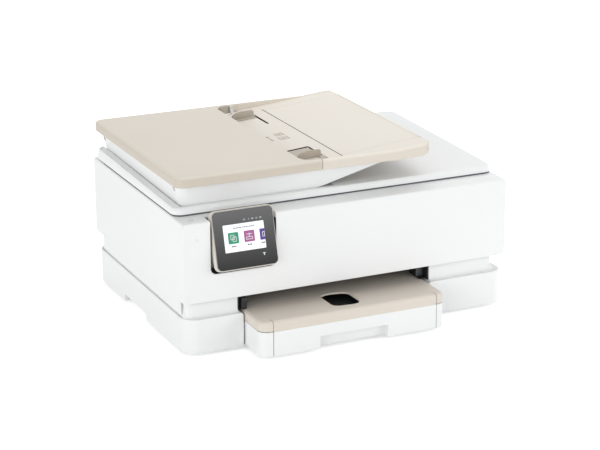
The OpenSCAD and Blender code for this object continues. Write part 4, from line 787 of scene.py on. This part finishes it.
# Place of the camera in metres, and where its own axes point
CAMERA_PLACE = (-1.06245, -2.279739, 0.932838)
CAMERA_RIGHT = (0.906784, -0.421591, -0.001978)
CAMERA_UP = (0.133894, 0.283532, 0.949569)
CAMERA_BACK = (-0.399769, -0.861319, 0.313551)
rotation = Matrix((CAMERA_RIGHT, CAMERA_UP, CAMERA_BACK)).transposed().to_4x4()
camera.matrix_world = Matrix.Translation(CAMERA_PLACE) @ rotation
bpy.context.scene.camera = camera


def seen_rays(tree):
    """1 for rays that show the background: from the camera, off gloss and through glass."""
    path = add_node(tree, "ShaderNodeLightPath")
    gloss = add_node(tree, "ShaderNodeMath", {"operation": "MAXIMUM"})
    tree.links.new(path.outputs["Is Camera Ray"], gloss.inputs[0])
    tree.links.new(path.outputs["Is Glossy Ray"], gloss.inputs[1])
    glass = add_node(tree, "ShaderNodeMath", {"operation": "MAXIMUM"})
    tree.links.new(gloss.outputs["Value"], glass.inputs[0])
    tree.links.new(path.outputs["Is Transmission Ray"], glass.inputs[1])
    return glass.outputs["Value"]


AMBIENT = 0.6           # light of the room on the object; the background itself shows white
FLOOR_REACH = 6         # m from the middle of the floor to each of its edges
FLOOR_LIFT = 0.45       # what the floor adds where it is seen, so that only the object's shadow darkens it
world = bpy.data.worlds.new("studio")
bpy.context.scene.world = world
world.use_nodes = True
tree = world.node_tree
strength = add_node(tree, "ShaderNodeMapRange", {"To Min": AMBIENT, "To Max": 1.0}, {"Value": seen_rays(tree)})
background = tree.nodes["Background"]
background.inputs["Color"].default_value = linear("#ffffff")
tree.links.new(strength.outputs["Result"], background.inputs["Strength"])


def softbox(name, place, size, power):
    """Rectangular lamp at a place in metres that faces the origin; its size in metres, its power in watts."""
    light = bpy.data.lights.new(name, "AREA")
    light.shape = "RECTANGLE"
    light.size, light.size_y = size
    light.energy = power
    obj = bpy.data.objects.new(name, light)
    bpy.context.scene.collection.objects.link(obj)
    obj.matrix_world = Matrix.Translation(place) @ Vector(place).to_track_quat("Z", "Y").to_matrix().to_4x4()


softbox("front_left", (-2.0, -1.2, 0.5), (2.4, 1.0), 18)
softbox("front_right", (1.35, -1.5, 0.75), (1.3, 0.8), 9.5)
softbox("right_low", (1.3, 0.3, 0.6), (1.2, 1.0), 2.2)
softbox("overhead", (0.5, 0.6, 1.5), (1.2, 1.2), 6.5)

mesh = bpy.data.meshes.new("floor")
bm = bmesh.new()
bmesh.ops.create_grid(bm, x_segments=1, y_segments=1, size=FLOOR_REACH)
bm.to_mesh(mesh)
bm.free()
floor = bpy.data.objects.new("floor", mesh)
bpy.context.scene.collection.objects.link(floor)
paper, tree, shader = shader_of("white paper sweep", "#ffffff", 0.95, Specular_IOR_Level=0.0)
lift = add_node(tree, "ShaderNodeMapRange", {"To Min": 0.0, "To Max": FLOOR_LIFT}, {"Value": seen_rays(tree)})
shader.inputs["Emission Color"].default_value = linear("#ffffff")
tree.links.new(lift.outputs["Result"], shader.inputs["Emission Strength"])
mesh.materials.append(paper)
bpy.context.scene.view_settings.view_transform = "Standard"
